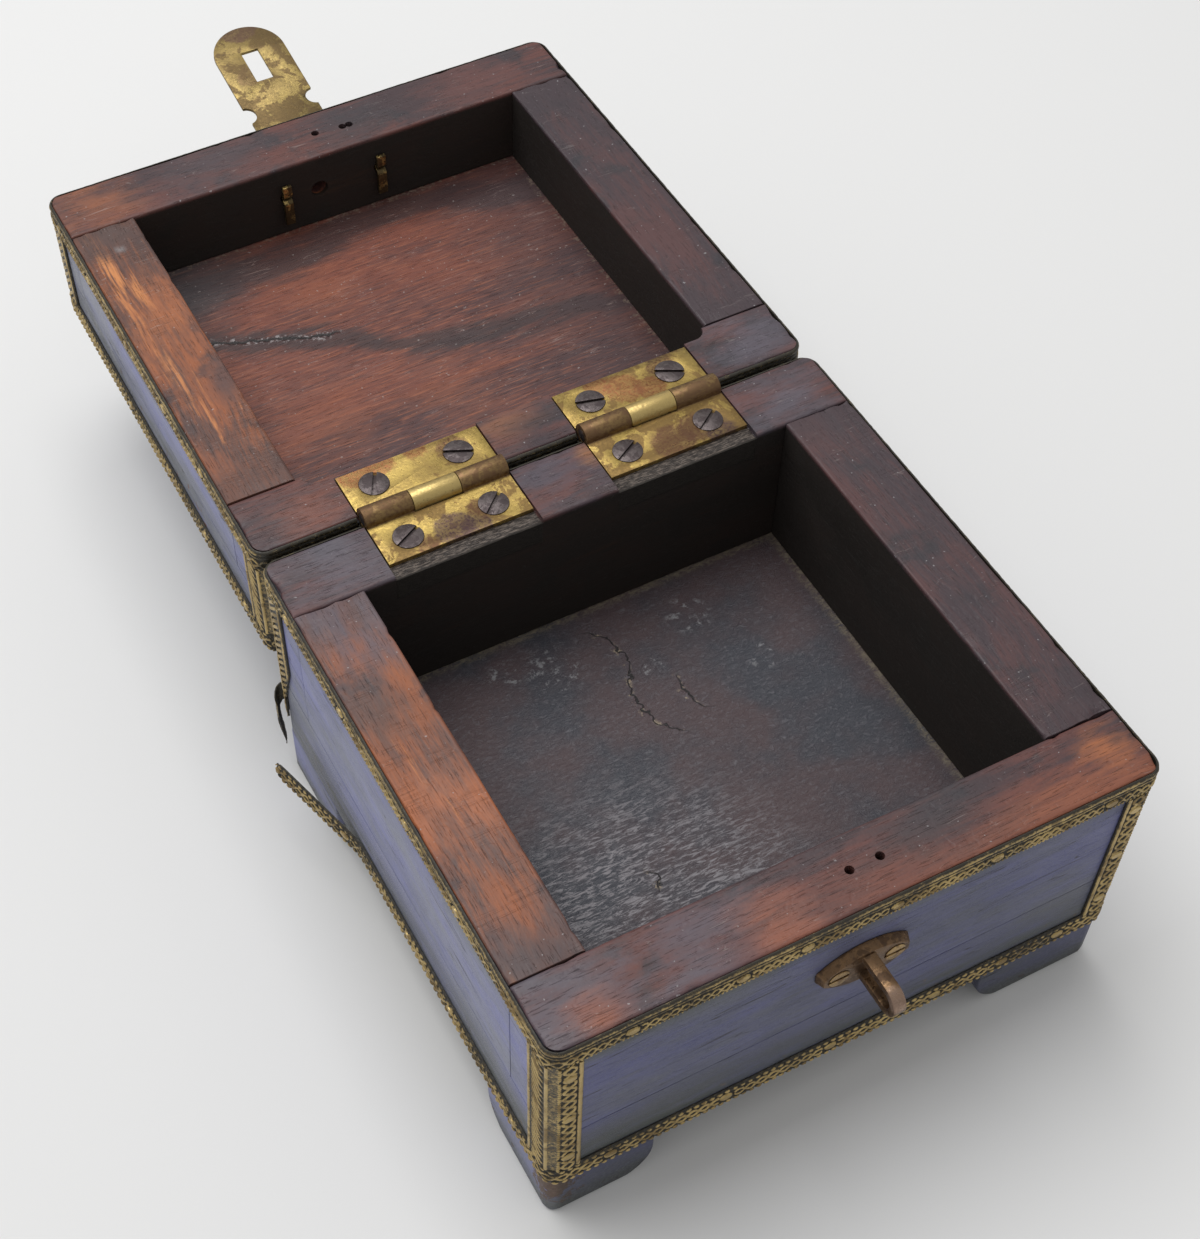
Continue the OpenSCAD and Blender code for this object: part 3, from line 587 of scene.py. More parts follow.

# %% [markdown]
# ## The blue paint
# All upright outer faces carry a thin coat of violet-blue paint. It is greyer and greener near the brass
# strips, where dirt and polish gathered, and the wood under it has cracked along its grain. On the front
# faces it is darkened as painted shade. It is a group, because the walls, the boards and the feet all wear
# it. The pattern runs along X plus Y, which follows any of the four sides.

# %% Paint group
def make_paint_group():
    """Colour, roughness and height of the paint, darkened on the front faces as painted shade. Grime is a
    number from 0 to 1 that the material adds near edges."""
    tree, given, result = new_group(
        "blue paint",
        {"Vector": (0.0, 0.0, 0.0), "Grime": 0.0},
        {"Color": "Color", "Roughness": "Float", "Height": "Float", "Bare": "Float"},
    )
    way = split(tree, given["Vector"])
    along = plus(tree, way[0], way[1])
    flat = put(tree, "ShaderNodeCombineXYZ", {0: along, 1: way[2], 2: 0.0}).outputs[0]
    cloud = noise(tree, stretch(tree, flat, (0.018, 0.06, 1.0)), 1.0, 4.0)
    brush = noise(tree, stretch(tree, flat, (0.05, 1.6, 1.0)), 1.0, 4.0, 0.6)
    fine = noise(tree, given["Vector"], 1.1, 4.0, 0.7)
    tone = plus(tree, times(tree, cloud, 0.75), times(tree, brush, 0.25))
    colour = mix(tree, step(tree, tone, 0.38, 0.60), (0.20, 0.21, 0.255), (0.20, 0.21, 0.44))
    colour = mix(tree, step(tree, fine, 0.35, 0.75, 0.0, 0.5), colour, (0.28, 0.29, 0.40))
    # Painted shade: the front faces are darkened, as the lamp stands above and behind the box.
    front = step(tree, way[1], BASE_LOW[1] + 1.0, BASE_LOW[1] + 4.0, 1.0, 0.0)
    colour = mix(tree, times(tree, front, 0.80), colour, (0.40, 0.40, 0.43), "MULTIPLY")
    rub = noise(tree, stretch(tree, flat, (0.03, 0.22, 1.0), shift=(9.0, 4.0, 0.0)), 1.0, 5.0, 0.7)
    grime = times(tree, given["Grime"], step(tree, rub, 0.30, 0.62, 0.35, 1.0))
    colour = mix(tree, grime, colour, (0.075, 0.082, 0.072))
    drawn = noise(tree, stretch(tree, flat, (0.016, 0.30, 1.0), shift=(0.0, 31.0, 0.0)), 1.0, 2.0, 0.4)
    line = apart(tree, drawn, 0.5)
    some = step(tree, noise(tree, stretch(tree, flat, (0.03, 0.10, 1.0)), 1.0, 1.0), 0.44, 0.58)
    crack = times(tree, step(tree, line, 0.001, 0.007, 1.0, 0.0), some)
    colour = mix(tree, times(tree, crack, 0.85), colour, (0.025, 0.022, 0.02))
    chips = noise(tree, given["Vector"], 0.35, 5.0, 0.7)
    bare = step(tree, plus(tree, chips, times(tree, given["Grime"], 0.17)), 0.755, 0.79)
    tree.links.new(colour, result["Color"])
    tree.links.new(step(tree, fine, 0.3, 0.7, 0.42, 0.62), result["Roughness"])
    level = minus(tree, times(tree, brush, 0.5), crack)
    tree.links.new(minus(tree, level, times(tree, bare, 0.5)), result["Height"])
    tree.links.new(bare, result["Bare"])
    return tree


PAINT = make_paint_group()
print("paint group:", [s.name for s in PAINT.interface.items_tree])

# %% [markdown]
# ## Wood for the rails
# The rims are hard dark wood that was stained and waxed long ago. Handling has worn the stain back to red
# and, in streaks, to orange. The cross rails are darker and the side rails are warmer, so one function
# makes both from a palette. Grey-blue spots on the rims are painted sheen. Inside the box the same board
# is painted near black as shade, outside it is blue, and the place group says where each begins.

# %% Rail finish
def on_the_box(tree, place, low, high):
    """Places the group for the box between two corners. Returns its outputs, and the box's middle and half
    size."""
    centre = (low + high) / 2
    half = (high - low) / 2
    room = ROOMS["base" if low[1] == BASE_LOW[1] else "lid"]
    where = use(tree, PLACE, Vector=place, Centre=tuple(centre), Half=(half[0], half[1], RIM),
                Room_Centre=room[0], Room_Half=room[1])
    return where, centre, half


def rail_finish(name, low, high, lengthwise, deep, red, worn, wear, spots=(), raw=(), glow=None):
    """Finish of a wall whose grain runs along X or, if lengthwise, along Y. Wear is how much of it is
    rubbed bare. Spots are places with a radius and a colour: most are stains and rubbed wood, and the grey
    ones are painted sheen. Raw boxes, by low and high corner, are torn fibres. Glow is the colour of the
    rubbed front edge, which grows stronger to the right."""
    material, tree, shader = new_material(name)
    place = millimetres(tree)
    where, centre, half = on_the_box(tree, place, low, high)
    turned = stretch(tree, place, (1.0, 1.0, 1.0), (0.0, 0.0, -math.pi / 2)) if lengthwise else place
    grain = use(tree, GRAIN, Vector=turned, Wave=0.4)
    marks = use(tree, WEAR, Vector=place)
    patch = noise(tree, stretch(tree, turned, (0.020, 0.060, 0.060)), 1.0, 5.0, 0.62)
    tone = plus(tree, patch, swing(tree, grain["Streaks"], 0.45))
    colour = mix(tree, step(tree, tone, 0.38, 0.64), deep, red)
    rub = noise(tree, stretch(tree, turned, (0.022, 0.13, 0.13), shift=(3.0, 7.0, 0.0)), 1.0, 5.0, 0.6)
    edge = step(tree, where["Drop"], 0.25, 1.1)
    edge = times(tree, edge, step(tree, where["Drop"], 2.5, 1.3, 1.0, 0.0))
    rub = plus(tree, rub, swing(tree, grain["Streaks"], 0.5))
    rub = plus(tree, rub, times(tree, edge, 0.10))
    bare = step(tree, rub, 0.86 - wear * 0.42, 1.02 - wear * 0.42)
    colour = mix(tree, bare, colour, worn)
    soot = noise(tree, place, 0.075, 4.0, 0.6)
    colour = mix(tree, step(tree, soot, 0.52, 0.70, 0.0, 0.80), colour, (0.030, 0.028, 0.034))
    ends = apart(tree, split(tree, place)[1], centre[1]) if lengthwise else 0.0
    if lengthwise:
        ends = plus(tree, ends, swing(tree, soot, 30.0))
        colour = mix(tree, step(tree, ends, half[1] - WALL - 17.0, half[1] - WALL - 2.0, 0.0, 0.75), colour,
                     deep)
    ragged = noise(tree, stretch(tree, turned, (0.05, 0.16, 0.16), shift=(1.0, 2.0, 3.0)), 1.0, 5.0, 0.65)
    if glow:
        way = split(tree, place)
        shift = swing(tree, ragged, 22.0)
        from_edge = plus(tree, minus(tree, way[1], low[1]), shift)
        rubbed = times(tree, step(tree, from_edge, 1.0, 13.0, 1.0, 0.0),
                       step(tree, minus(tree, way[0], centre[0]), -30.0, 60.0, 0.1, 1.0))
        colour = mix(tree, rubbed, colour, mix(tree, grain["Streaks"], (0.10, 0.030, 0.022), glow))
    # The grey spots are painted sheen; the others are stains and rubbed wood.
    for (_, _, patch_colour), mask in zip(spots, near(tree, place, [each[:2] for each in spots], ragged, True)):
        grainy = plus(tree, 0.45, times(tree, grain["Streaks"], 0.7))
        colour = mix(tree, times(tree, mask, grainy), colour, patch_colour)
    colour = mix(tree, times(tree, grain["Pores"], 0.40), colour, (0.02, 0.014, 0.012))
    colour = mix(tree, times(tree, marks["Scratches"], 0.22), colour, (0.42, 0.36, 0.34))
    colour = mix(tree, times(tree, marks["Dust"], 0.45), colour, (0.45, 0.44, 0.45))
    torn = 0.0
    for low_corner, high_corner in raw:
        middle = (np.array(low_corner) + np.array(high_corner)) / 2
        reach = (np.array(high_corner) - np.array(low_corner)) / 2
        over = largest(tree, *past_box(tree, place, tuple(middle), tuple(reach)))
        torn = largest(tree, step(tree, over, -0.3, 0.2, 1.0, 0.0), torn)
    fibres = noise(tree, stretch(tree, place, (0.5, 2.6, 2.6)), 1.0, 4.0, 0.7)
    colour = mix(tree, torn, colour, mix(tree, step(tree, fibres, 0.42, 0.68), (0.026, 0.020, 0.017),
                                         (0.185, 0.150, 0.125)))
    # Painted shade: the faces inside the box are coloured near black. The lid's back wall is hollowed to a
    # little past its hinge leaves, so its painted shade starts further out.
    inner = 1.3 if low[1] > BASE_HIGH[1] else 0.35
    painted_inner_shade = times(tree, step(tree, where["Room"], inner, inner + 0.55, 1.0, 0.0),
                 step(tree, where["Drop"], 0.5, 1.6))
    colour = mix(tree, times(tree, painted_inner_shade, 0.93), colour, (0.014, 0.011, 0.008))
    up = split(tree, place)[2]
    grime = largest(tree, step(tree, where["Drop"], 7.0, 13.0, 0.8, 0.0),
                    step(tree, up, low[2] + 6.0, low[2] + 27.0, 0.95, 0.0))
    paint = use(tree, PAINT, Vector=place, Grime=grime)
    skin = times(tree, step(tree, where["Skin"], 0.30, 0.75, 1.0, 0.0), step(tree, where["Drop"], 0.6, 1.2))
    skin = times(tree, skin, minus(tree, 1.0, paint["Bare"]))
    colour = mix(tree, skin, colour, paint["Color"])
    rough = step(tree, patch, 0.3, 0.7, 0.36, 0.55)
    rough = plus(tree, rough, times(tree, painted_inner_shade, 0.3))
    level = plus(tree, grain["Height"], times(tree, noise(tree, place, 0.9, 3.0), 0.6))
    level = minus(tree, level, times(tree, marks["Scratches"], 0.6))
    level = minus(tree, level, times(tree, marks["Dents"], 0.5))
    level = plus(tree, level, times(tree, torn, times(tree, fibres, 4.0)))
    level = plus(tree, level, times(tree, skin, paint["Height"]))
    feed(tree, shader, Base_Color=colour, Roughness=rough, Normal=bump(tree, level, 0.09))
    shader.inputs["Specular IOR Level"].default_value = 0.40
    return material


DARK = ((0.055, 0.034, 0.038), (0.125, 0.046, 0.038), (0.34, 0.115, 0.045))
PLAIN = ((0.050, 0.034, 0.040), (0.088, 0.040, 0.040), (0.22, 0.085, 0.050))
WARM = ((0.090, 0.046, 0.038), (0.290, 0.092, 0.036), (0.56, 0.22, 0.075))
# Painted sheen: a grey-blue veil on the rims, where the soft lamp reflects.
PAINTED_SHEEN_GREY = (0.100, 0.088, 0.110)
EMBER = (0.26, 0.085, 0.045)
SOOT = (0.042, 0.038, 0.044)
# The grey spots in these lists are painted sheen.
front_spots = ((spot(-66, 8, 78), 20.0, PAINTED_SHEEN_GREY), (spot(-36, 10, 78), 18.0, PAINTED_SHEEN_GREY),
               (spot(-62, 3, 78), 7.0, EMBER), (spot(67, 10, 78), 7.0, (0.38, 0.13, 0.05)),
               (spot(-20, 5, 78), 9.0, EMBER), (spot(24, 14, 78), 16.0, SOOT),
               (spot(-58, 136, 78), 20.0, PAINTED_SHEEN_GREY), (spot(62, 133, 78), 14.0, PAINTED_SHEEN_GREY),
               (spot(-1, 137, 78), 12.0, (0.075, 0.062, 0.082)),
               (spot(9.2, 139, 77), 3.4, (0.34, 0.15, 0.06)))
lid_spots = (
    (spot(-4, 158, 78), 10.0, (0.26, 0.105, 0.050)), (spot(1, 148, 78), 12.0, (0.014, 0.016, 0.026)),
    (spot(-65, 284, 78), 15.0, (0.27, 0.095, 0.045)), (spot(-58, 152, 78), 12.0, (0.20, 0.065, 0.04)),
    (spot(-30, 281, 78), 18.0, (0.060, 0.048, 0.056)), (spot(64, 156, 78), 14.0, PAINTED_SHEEN_GREY),
    (spot(10, 279, 78), 14.0, SOOT), (spot(50, 284, 78), 16.0, (0.12, 0.05, 0.045)))
left_spots = (
    (spot(-66, 122, 78), 22.0, PAINTED_SHEEN_GREY), (spot(-66, 22, 78), 14.0, (0.070, 0.052, 0.056)),
    (spot(-61, 60, 78), 16.0, (0.40, 0.125, 0.045)), (spot(-70, 92, 78), 12.0, (0.09, 0.050, 0.042)))
lid_left_spots = (
    (spot(-66, 271, 78), 13.0, (0.085, 0.055, 0.050)), (spot(-65, 262, 78), 1.8, (0.26, 0.26, 0.27)),
    (spot(-58, 205, 78), 9.0, (0.075, 0.045, 0.045)), (spot(-62, 232, 78), 16.0, (0.38, 0.125, 0.045)))
torn_edges = [(spot(side * 29.6 - 19.2, 125.0, 70.0), spot(side * 29.6 + 19.2, 132.5, 77.6)) for side in (-1,
                                                                                                          1)]
base_cross = rail_finish("base cross rail", BASE_LOW, BASE_HIGH, False, *DARK, 0.34, front_spots, torn_edges,
                         (0.33, 0.115, 0.058))
base_left = rail_finish("base left rail", BASE_LOW, BASE_HIGH, True, *WARM, 0.62, left_spots)
base_right = rail_finish("base right rail", BASE_LOW, BASE_HIGH, True, *PLAIN, 0.14)
lid_cross = rail_finish("lid cross rail", LID_LOW, LID_HIGH, False, *DARK, 0.36, lid_spots)
lid_left = rail_finish("lid left rail", LID_LOW, LID_HIGH, True, *WARM, 0.72, lid_left_spots)
lid_right = rail_finish("lid right rail", LID_LOW, LID_HIGH, True, *PLAIN, 0.12)
print("rail finishes:", base_cross.name, "to", lid_right.name)

# %% [markdown]
# ## The boards inside
# The floor of the base is dark and dull, wrinkled like leather, with light rubbed spots and dust along its
# edges. Its wrinkle ridges and a patch near its front left carry painted bluish sheen. The board of the lid
# is bare reddish wood with dark wavy bands and one long split near its left end. Its right part is darkened
# as painted shade. Both boards also show outside, where they wear the blue paint, so their finish changes
# with the place too.

# %% Floor and lid board finishes
FLOOR_Z = box_mm("base_bottom_board")[1][2]
PANEL_Z = box_mm("lid_top_board")[1][2]


def board_finish(name, low, high, inner, painted_under):
    """Finish of a board: its level face inside the walls comes from the inner function, its outer skin is
    painted."""
    material, tree, shader = new_material(name)
    place = millimetres(tree)
    where, _, _ = on_the_box(tree, place, low, high)
    colour, rough, level = inner(tree, place, where)
    up = split(tree, place)[2]
    skin = step(tree, where["Skin"], 0.30, 0.75, 1.0, 0.0)
    grime = step(tree, up, low[2] + 6.0, low[2] + 27.0, 0.95, 0.0)
    laid = place
    if painted_under:
        under = step(tree, up, low[2] + 0.3, low[2] + 0.8, 1.0, 0.0)
        way = split(tree, place)
        level_way = put(tree, "ShaderNodeCombineXYZ", {0: way[0], 1: 0.0, 2: way[1]}).outputs[0]
        laid = put(tree, "ShaderNodeMix", {"Factor": under, 4: place, 5: level_way},
                   data_type="VECTOR").outputs[1]
        grime = times(tree, grime, minus(tree, 1.0, times(tree, under, 0.55)))
        skin = largest(tree, skin, under)
    paint = use(tree, PAINT, Vector=laid, Grime=grime)
    skin = times(tree, skin, minus(tree, 1.0, paint["Bare"]))
    colour = mix(tree, skin, colour, paint["Color"])
    level = plus(tree, level, times(tree, skin, paint["Height"]))
    feed(tree, shader, Base_Color=colour, Roughness=rough, Normal=bump(tree, level, 0.12))
    shader.inputs["Specular IOR Level"].default_value = 0.42
    return material


def leathery_floor(tree, place, where):
    """Dark polish wrinkled like leather, with painted bluish sheen on the wrinkle ridges and near the front
    left. Two scuffs and a crack follow curves read off the photograph.
    """
    way = split(tree, place)
    cloud = noise(tree, place, 0.032, 4.0, 0.6)
    sheen_ripple = noise(tree, stretch(tree, place, (0.30, 1.25, 1.0), (0.0, 0.0, 0.12)), 1.0, 4.0, 0.7, 0.8)
    wrinkles = noise(tree, stretch(tree, place, (0.62, 1.15, 1.0)), 1.0, 6.0, 0.75, 1.0)
    colour = mix(tree, step(tree, cloud, 0.36, 0.62), (0.044, 0.046, 0.058), (0.078, 0.052, 0.056))
    # Painted sheen: the wrinkle ridges are lightened to bluish grey.
    colour = mix(tree, step(tree, wrinkles, 0.50, 0.68, 0.0, 0.55), colour, (0.150, 0.145, 0.160))
    # Painted sheen: a rippled light patch near the front left.
    close = step(tree, distance(tree, place, spot(-24, 38, FLOOR_Z)), 18.0, 48.0, 1.0, 0.0)
    colour = mix(tree, times(tree, close, step(tree, sheen_ripple, 0.47, 0.62)), colour, (0.23, 0.215, 0.230))
    ragged = noise(tree, place, 0.35, 6.0, 0.75)
    spots = [(spot(-14, 112, FLOOR_Z), 9.0), (spot(34, 92, FLOOR_Z), 5.0), (spot(24, 112, FLOOR_Z), 7.0),
             (spot(-26, 116, FLOOR_Z), 5.0), (spot(8, 101, FLOOR_Z), 4.0)]
    flecks = step(tree, ragged, 0.53, 0.62)
    for mask in near(tree, place, spots, ragged):
        colour = mix(tree, times(tree, mask, flecks, 0.8), colour, (0.26, 0.26, 0.27))
    crack = 0.0
    wobble = swing(tree, noise(tree, place, 0.35, 3.0), 5.0)
    ways = ([(80.3, 6.3), (92.6, -0.7), (109.9, 3.3), (119.7, -8.5)],
            [(84.0, 15.5), (90.0, 11.5), (97.0, 12.5)], [(43.5, -24.4), (47.0, -21.5), (50.5, -23.1)])
    for line in ways:
        points = [(spot(0, y, 0)[1], spot(x, 0, 0)[0]) for y, x in line]
        off = apart(tree, plus(tree, way[0], wobble), follow(tree, way[1], points))
        run = times(tree, step(tree, way[1], points[0][0] - 1, points[0][0] + 2),
                    step(tree, way[1], points[-1][0] - 2, points[-1][0] + 1, 1.0, 0.0))
        scuff = times(tree, step(tree, off, 0.4, 1.5, 1.0, 0.0), run, flecks)
        colour = mix(tree, scuff, colour, (0.30, 0.24, 0.17))
        crack = largest(tree, times(tree, step(tree, off, 0.12, 0.4, 1.0, 0.0), run), crack)
    colour = mix(tree, crack, colour, (0.012, 0.010, 0.010))
    edge = plus(tree, where["Room"], swing(tree, ragged, 3.0))
    dusty = times(tree, step(tree, edge, -2.6, -0.4), step(tree, wrinkles, 0.38, 0.60))
    colour = mix(tree, times(tree, dusty, 0.75), colour, (0.20, 0.165, 0.11))
    rough = step(tree, cloud, 0.3, 0.7, 0.30, 0.46)
    level = minus(tree, times(tree, wrinkles, 2.4), crack)
    return colour, rough, level


def figured_panel(tree, place, where):
    """Deep red wood with soft dark figure. One wavy dark band crosses it, with a broken split in its left
    part. Its right part is darkened as painted shade."""
    way = split(tree, place)
    grain = use(tree, GRAIN, Vector=place, Wave=0.9)
    marks = use(tree, WEAR, Vector=place)
    cloud = noise(tree, stretch(tree, place, (0.014, 0.045, 0.045), shift=(2.0, 5.0, 0.0)), 1.0, 4.0, 0.55)
    tone = plus(tree, times(tree, cloud, 0.75), times(tree, grain["Streaks"], 0.25))
    colour = mix(tree, step(tree, tone, 0.38, 0.60), (0.070, 0.031, 0.032), (0.180, 0.053, 0.033))
    thin = noise(tree, stretch(tree, place, (0.10, 1.5, 1.5), (0.0, 0.0, -0.06)), 1.0, 4.0, 0.7)
    colour = mix(tree, step(tree, thin, 0.50, 0.68, 0.0, 0.65), colour, (0.32, 0.110, 0.055))
    colour = mix(tree, step(tree, thin, 0.34, 0.46, 0.55, 0.0), colour, (0.050, 0.026, 0.026))
    ragged = noise(tree, stretch(tree, place, (0.06, 0.30, 0.3)), 1.0, 5.0, 0.65)
    spots = [(spot(-34, 200, PANEL_Z), 15.0), (spot(-2, 194, PANEL_Z), 14.0), (spot(-18, 246, PANEL_Z), 13.0)]
    for mask in near(tree, place, spots, ragged, True):
        colour = mix(tree, times(tree, mask, 0.35), colour, (0.34, 0.105, 0.045))
    bands = (((2.0, 6.5), [(-50, 240), (-32.5, 232.9), (-21.5, 227.9), (6.9, 212.1), (38.7, 208.6),
                           (59.9, 201.8)]), ((3.0, 11.0), [(-50, 262), (-20, 262), (12, 268), (40, 262),
                                                           (60, 258)]))
    push = swing(tree, ragged, 16.0)
    for wide, line in bands:
        points = [spot(x, y, 0)[:2] for x, y in line]
        off = maths(tree, "ABSOLUTE", plus(tree, push, minus(tree, way[1], follow(tree, way[0], points))))
        colour = mix(tree, step(tree, off, *wide, 0.80, 0.0), colour, (0.036, 0.024, 0.026))
    centre = (LID_LOW + LID_HIGH) / 2
    # Painted shade: the panel is darkened towards its right wall.
    shade_side = step(tree, way[0], centre[0] + 12.0, centre[0] + 54.0, 0.0, 0.60)
    colour = mix(tree, shade_side, colour, (0.050, 0.032, 0.036))
    far_left = minus(tree, minus(tree, way[1], way[0]), centre[1] - centre[0])
    colour = mix(tree, step(tree, far_left, 62.0, 100.0, 0.0, 0.7), colour, (0.050, 0.046, 0.050))
    split_line = [spot(x, y, 0)[:2] for x, y in [(-50, 241), (-40, 236.5), (-32.5, 233.5), (-21.5, 229.5),
                                                 (-17, 229)]]
    wobble = swing(tree, noise(tree, place, 0.28, 4.0), 4.0)
    off = maths(tree, "ABSOLUTE", plus(tree, wobble, minus(tree, way[1], follow(tree, way[0], split_line))))
    run = step(tree, way[0], split_line[-1][0] - 4, split_line[-1][0] + 2, 1.0, 0.0)
    crack = times(tree, step(tree, off, 0.25, 0.7, 1.0, 0.0), run)
    flecks = step(tree, noise(tree, place, 0.8, 5.0, 0.7), 0.50, 0.60)
    chips = times(tree, step(tree, off, 0.6, 1.9, 1.0, 0.0), run, flecks)
    colour = mix(tree, times(tree, chips, 0.8), colour, (0.36, 0.33, 0.33))
    colour = mix(tree, crack, colour, (0.014, 0.010, 0.010))
    colour = mix(tree, times(tree, grain["Pores"], 0.35), colour, (0.02, 0.012, 0.010))
    colour = mix(tree, times(tree, marks["Scratches"], 0.35), colour, (0.40, 0.30, 0.27))
    colour = mix(tree, times(tree, marks["Dust"], 0.4), colour, (0.42, 0.38, 0.36))
    edge = plus(tree, where["Room"], swing(tree, ragged, 3.0))
    dusty = times(tree, step(tree, edge, -2.0, -0.3), flecks)
    colour = mix(tree, times(tree, dusty, 0.6), colour, (0.20, 0.15, 0.11))
    rough = step(tree, grain["Figure"], 0.3, 0.7, 0.42, 0.58)
    level = minus(tree, times(tree, grain["Height"], 0.6), crack)
    return colour, rough, level


base_board = board_finish("base board", BASE_LOW, BASE_HIGH, leathery_floor, False)
lid_board = board_finish("lid board", LID_LOW, LID_HIGH, figured_panel, True)
print("floor at", FLOOR_Z.round(1), "panel at", PANEL_Z.round(1))

# %% [markdown]
# ## Worn boards
# Each wall and board is a plain plank on the real box, but none of its edges is sharp or straight any more.
# A bevel would round them all alike. Here each plank is a lattice of points on a box instead, and every
# edge gets its own radius, which swells and shrinks along the edge where hands and knocks have worn it.
# Across an edge the square corner is mapped to a quarter disc, and small dents push the wood in, never out.

# %% Worn board
def lattice_lines(low, high, reach, pitch):
    """Coordinates along one axis: close together within reach of both ends, about pitch apart between."""
    close = reach * np.array([0.0, 0.08, 0.2, 0.36, 0.55, 0.76, 1.0])
    count = max(2, int(round((high - low - 2 * reach) / pitch)) + 1)
    middle = np.linspace(low + reach, high - reach, count)
    return np.unique(np.concatenate([low + close, middle, high - close]).round(4))


def box_surface(lines):
    """Points and outward quads of the six sides of a lattice given by its three lists of coordinates."""
    shape = [len(line) for line in lines]
    index = np.arange(np.prod(shape)).reshape(shape)
    quads = []
    for axis in range(3):
        for end in (0, -1):
            sheet = np.take(index, end, axis)
            quad = np.stack([sheet[:-1, :-1], sheet[1:, :-1], sheet[1:, 1:], sheet[:-1, 1:]], -1).reshape(-1,
                                                                                                          4)
            quads.append(quad if (end == -1) == (axis != 1) else quad[:, ::-1])
    quads = np.concatenate(quads)
    kept, quads = np.unique(quads, return_inverse=True)
    grid = np.stack(np.meshgrid(*lines, indexing="ij"), -1).reshape(-1, 3)
    return grid[kept], quads.reshape(-1, 4)


def round_edge(points, axis, corner, sides, radius):
    """Rounds the edge parallel to axis at the corner. With u and v the shares of the radius still to go to
    the faces, the larger becomes the distance from the arc's centre, and their ratio becomes its angle."""
    a, b = [k for k in range(3) if k != axis]
    u = 1 - np.abs(points[:, a] - corner[0]) / radius
    v = 1 - np.abs(points[:, b] - corner[1]) / radius
    near = (u > 0) & (v > 0)
    far = np.maximum(u, v)
    safe = np.where(far > 0, far, 1)
    angle = np.where(u >= v, v / safe, 2 - u / safe) * math.pi / 4
    points[:, a] = np.where(near, corner[0] - sides[0] * radius * (1 - far * np.cos(angle)), points[:, a])
    points[:, b] = np.where(near, corner[1] - sides[1] * radius * (1 - far * np.sin(angle)), points[:, b])


def worn_board(name, node, body, material, radii, pitch=1.6, seed=1, sink=0.03, dents=14, relief=None):
    """A plank in the node's place. radii gives four edge radii for each axis, in the order low-low, high-low,
    low-high, high-high of the other two axes. Sink keeps it that much inside the node's box."""
    low, high = box_mm(node)
    low, high = low + sink, high - sink
    reach = 1.35 * max(max(four) for four in radii.values())
    points, quads = box_surface([lattice_lines(low[k], high[k], min(reach, (high[k] - low[k]) / 3), pitch)
                                 for k in range(3)])
    for axis, four in radii.items():
        a, b = [k for k in range(3) if k != axis]
        for number, radius in enumerate(four):
            sides = (1 if number % 2 else -1, 1 if number > 1 else -1)
            corner = (high[a] if sides[0] > 0 else low[a], high[b] if sides[1] > 0 else low[b])
            line = np.zeros_like(points)
            line[:, axis] = points[:, axis]
            worn = 0.55 + 0.8 * noise3(line, 17.0, seed + 5 * number + axis)
            round_edge(points, axis, corner, sides, radius * worn)
    centre = np.clip(points, low + 2.0, high - 2.0)
    inward = centre - points
    inward /= np.maximum(np.linalg.norm(inward, axis=1, keepdims=True), 1e-6)
    push = 0.12 * noise3(points, 23.0, seed) + 0.05 * noise3(points, 6.0, seed + 1)
    draw = np.random.default_rng(seed)
    for place in draw.uniform(low, high, (dents, 3)):
        side = draw.integers(0, 2, 2)
        place[0 if side[0] else 1] = (low, high)[side[1]][0 if side[0] else 1]
        place[2] = high[2]
        size, deep = draw.uniform(1.2, 3.2), draw.uniform(0.15, 0.5)
        push += deep * smooth_step(0, 1, 1 - np.linalg.norm(points - place, axis=1) / size)
    if relief is not None:
        push += relief(points, low, high)
    return make_piece(name, points + inward * push[:, None], quads, body, material, sharp=50)


def cut_like(piece, node):
    """Keeps only what lies inside the node too, which cuts the node's mortises and holes into the piece."""
    cutter = bpy.data.objects.new("cutter", merged_copy(node))
    bpy.context.scene.collection.objects.link(cutter)
    cut = piece.modifiers.new("cut", "BOOLEAN")
    cut.object = cutter
    cut.operation = "INTERSECT"
    cut.solver = "EXACT"
    baked(piece)
    bpy.data.objects.remove(cutter)
    shade(piece.data, 40)
    return piece


TIGHT = 0.18
print("corner radius", CORNER_R, "joint radius", TIGHT)

# %% [markdown]
# ## The eight walls and the two boards
# On both boxes the front and back walls run the full width and the side walls stand between them, so the
# joints show on the rim. Edges that meet another board stay tight. The rim's edges are worn, the upright
# outer corners are well rounded. The walls with hinge mortises, screw holes and old nail holes are cut like
# their CAD nodes.

# %% Build the woodwork
def long_wall_radii(outer_low, rim_outer, rim_inner):
    """Edge radii of a wall along X whose outer face is its low Y side, or its high Y side."""
    rim = (rim_outer, rim_inner) if outer_low else (rim_inner, rim_outer)
    upright = (CORNER_R, CORNER_R, TIGHT, TIGHT) if outer_low else (TIGHT, TIGHT, CORNER_R, CORNER_R)
    return {2: upright, 0: (TIGHT, TIGHT, *rim), 1: (TIGHT, TIGHT, rim_outer, rim_outer)}


def short_wall_radii(outer_low, rim_outer, rim_inner):
    """Edge radii of a wall along Y whose outer face is its low X side, or its high X side."""
    rim = (rim_outer, rim_inner) if outer_low else (rim_inner, rim_outer)
    return {1: (TIGHT, TIGHT, *rim), 0: (TIGHT, TIGHT, TIGHT, TIGHT), 2: (TIGHT, TIGHT, TIGHT, TIGHT)}


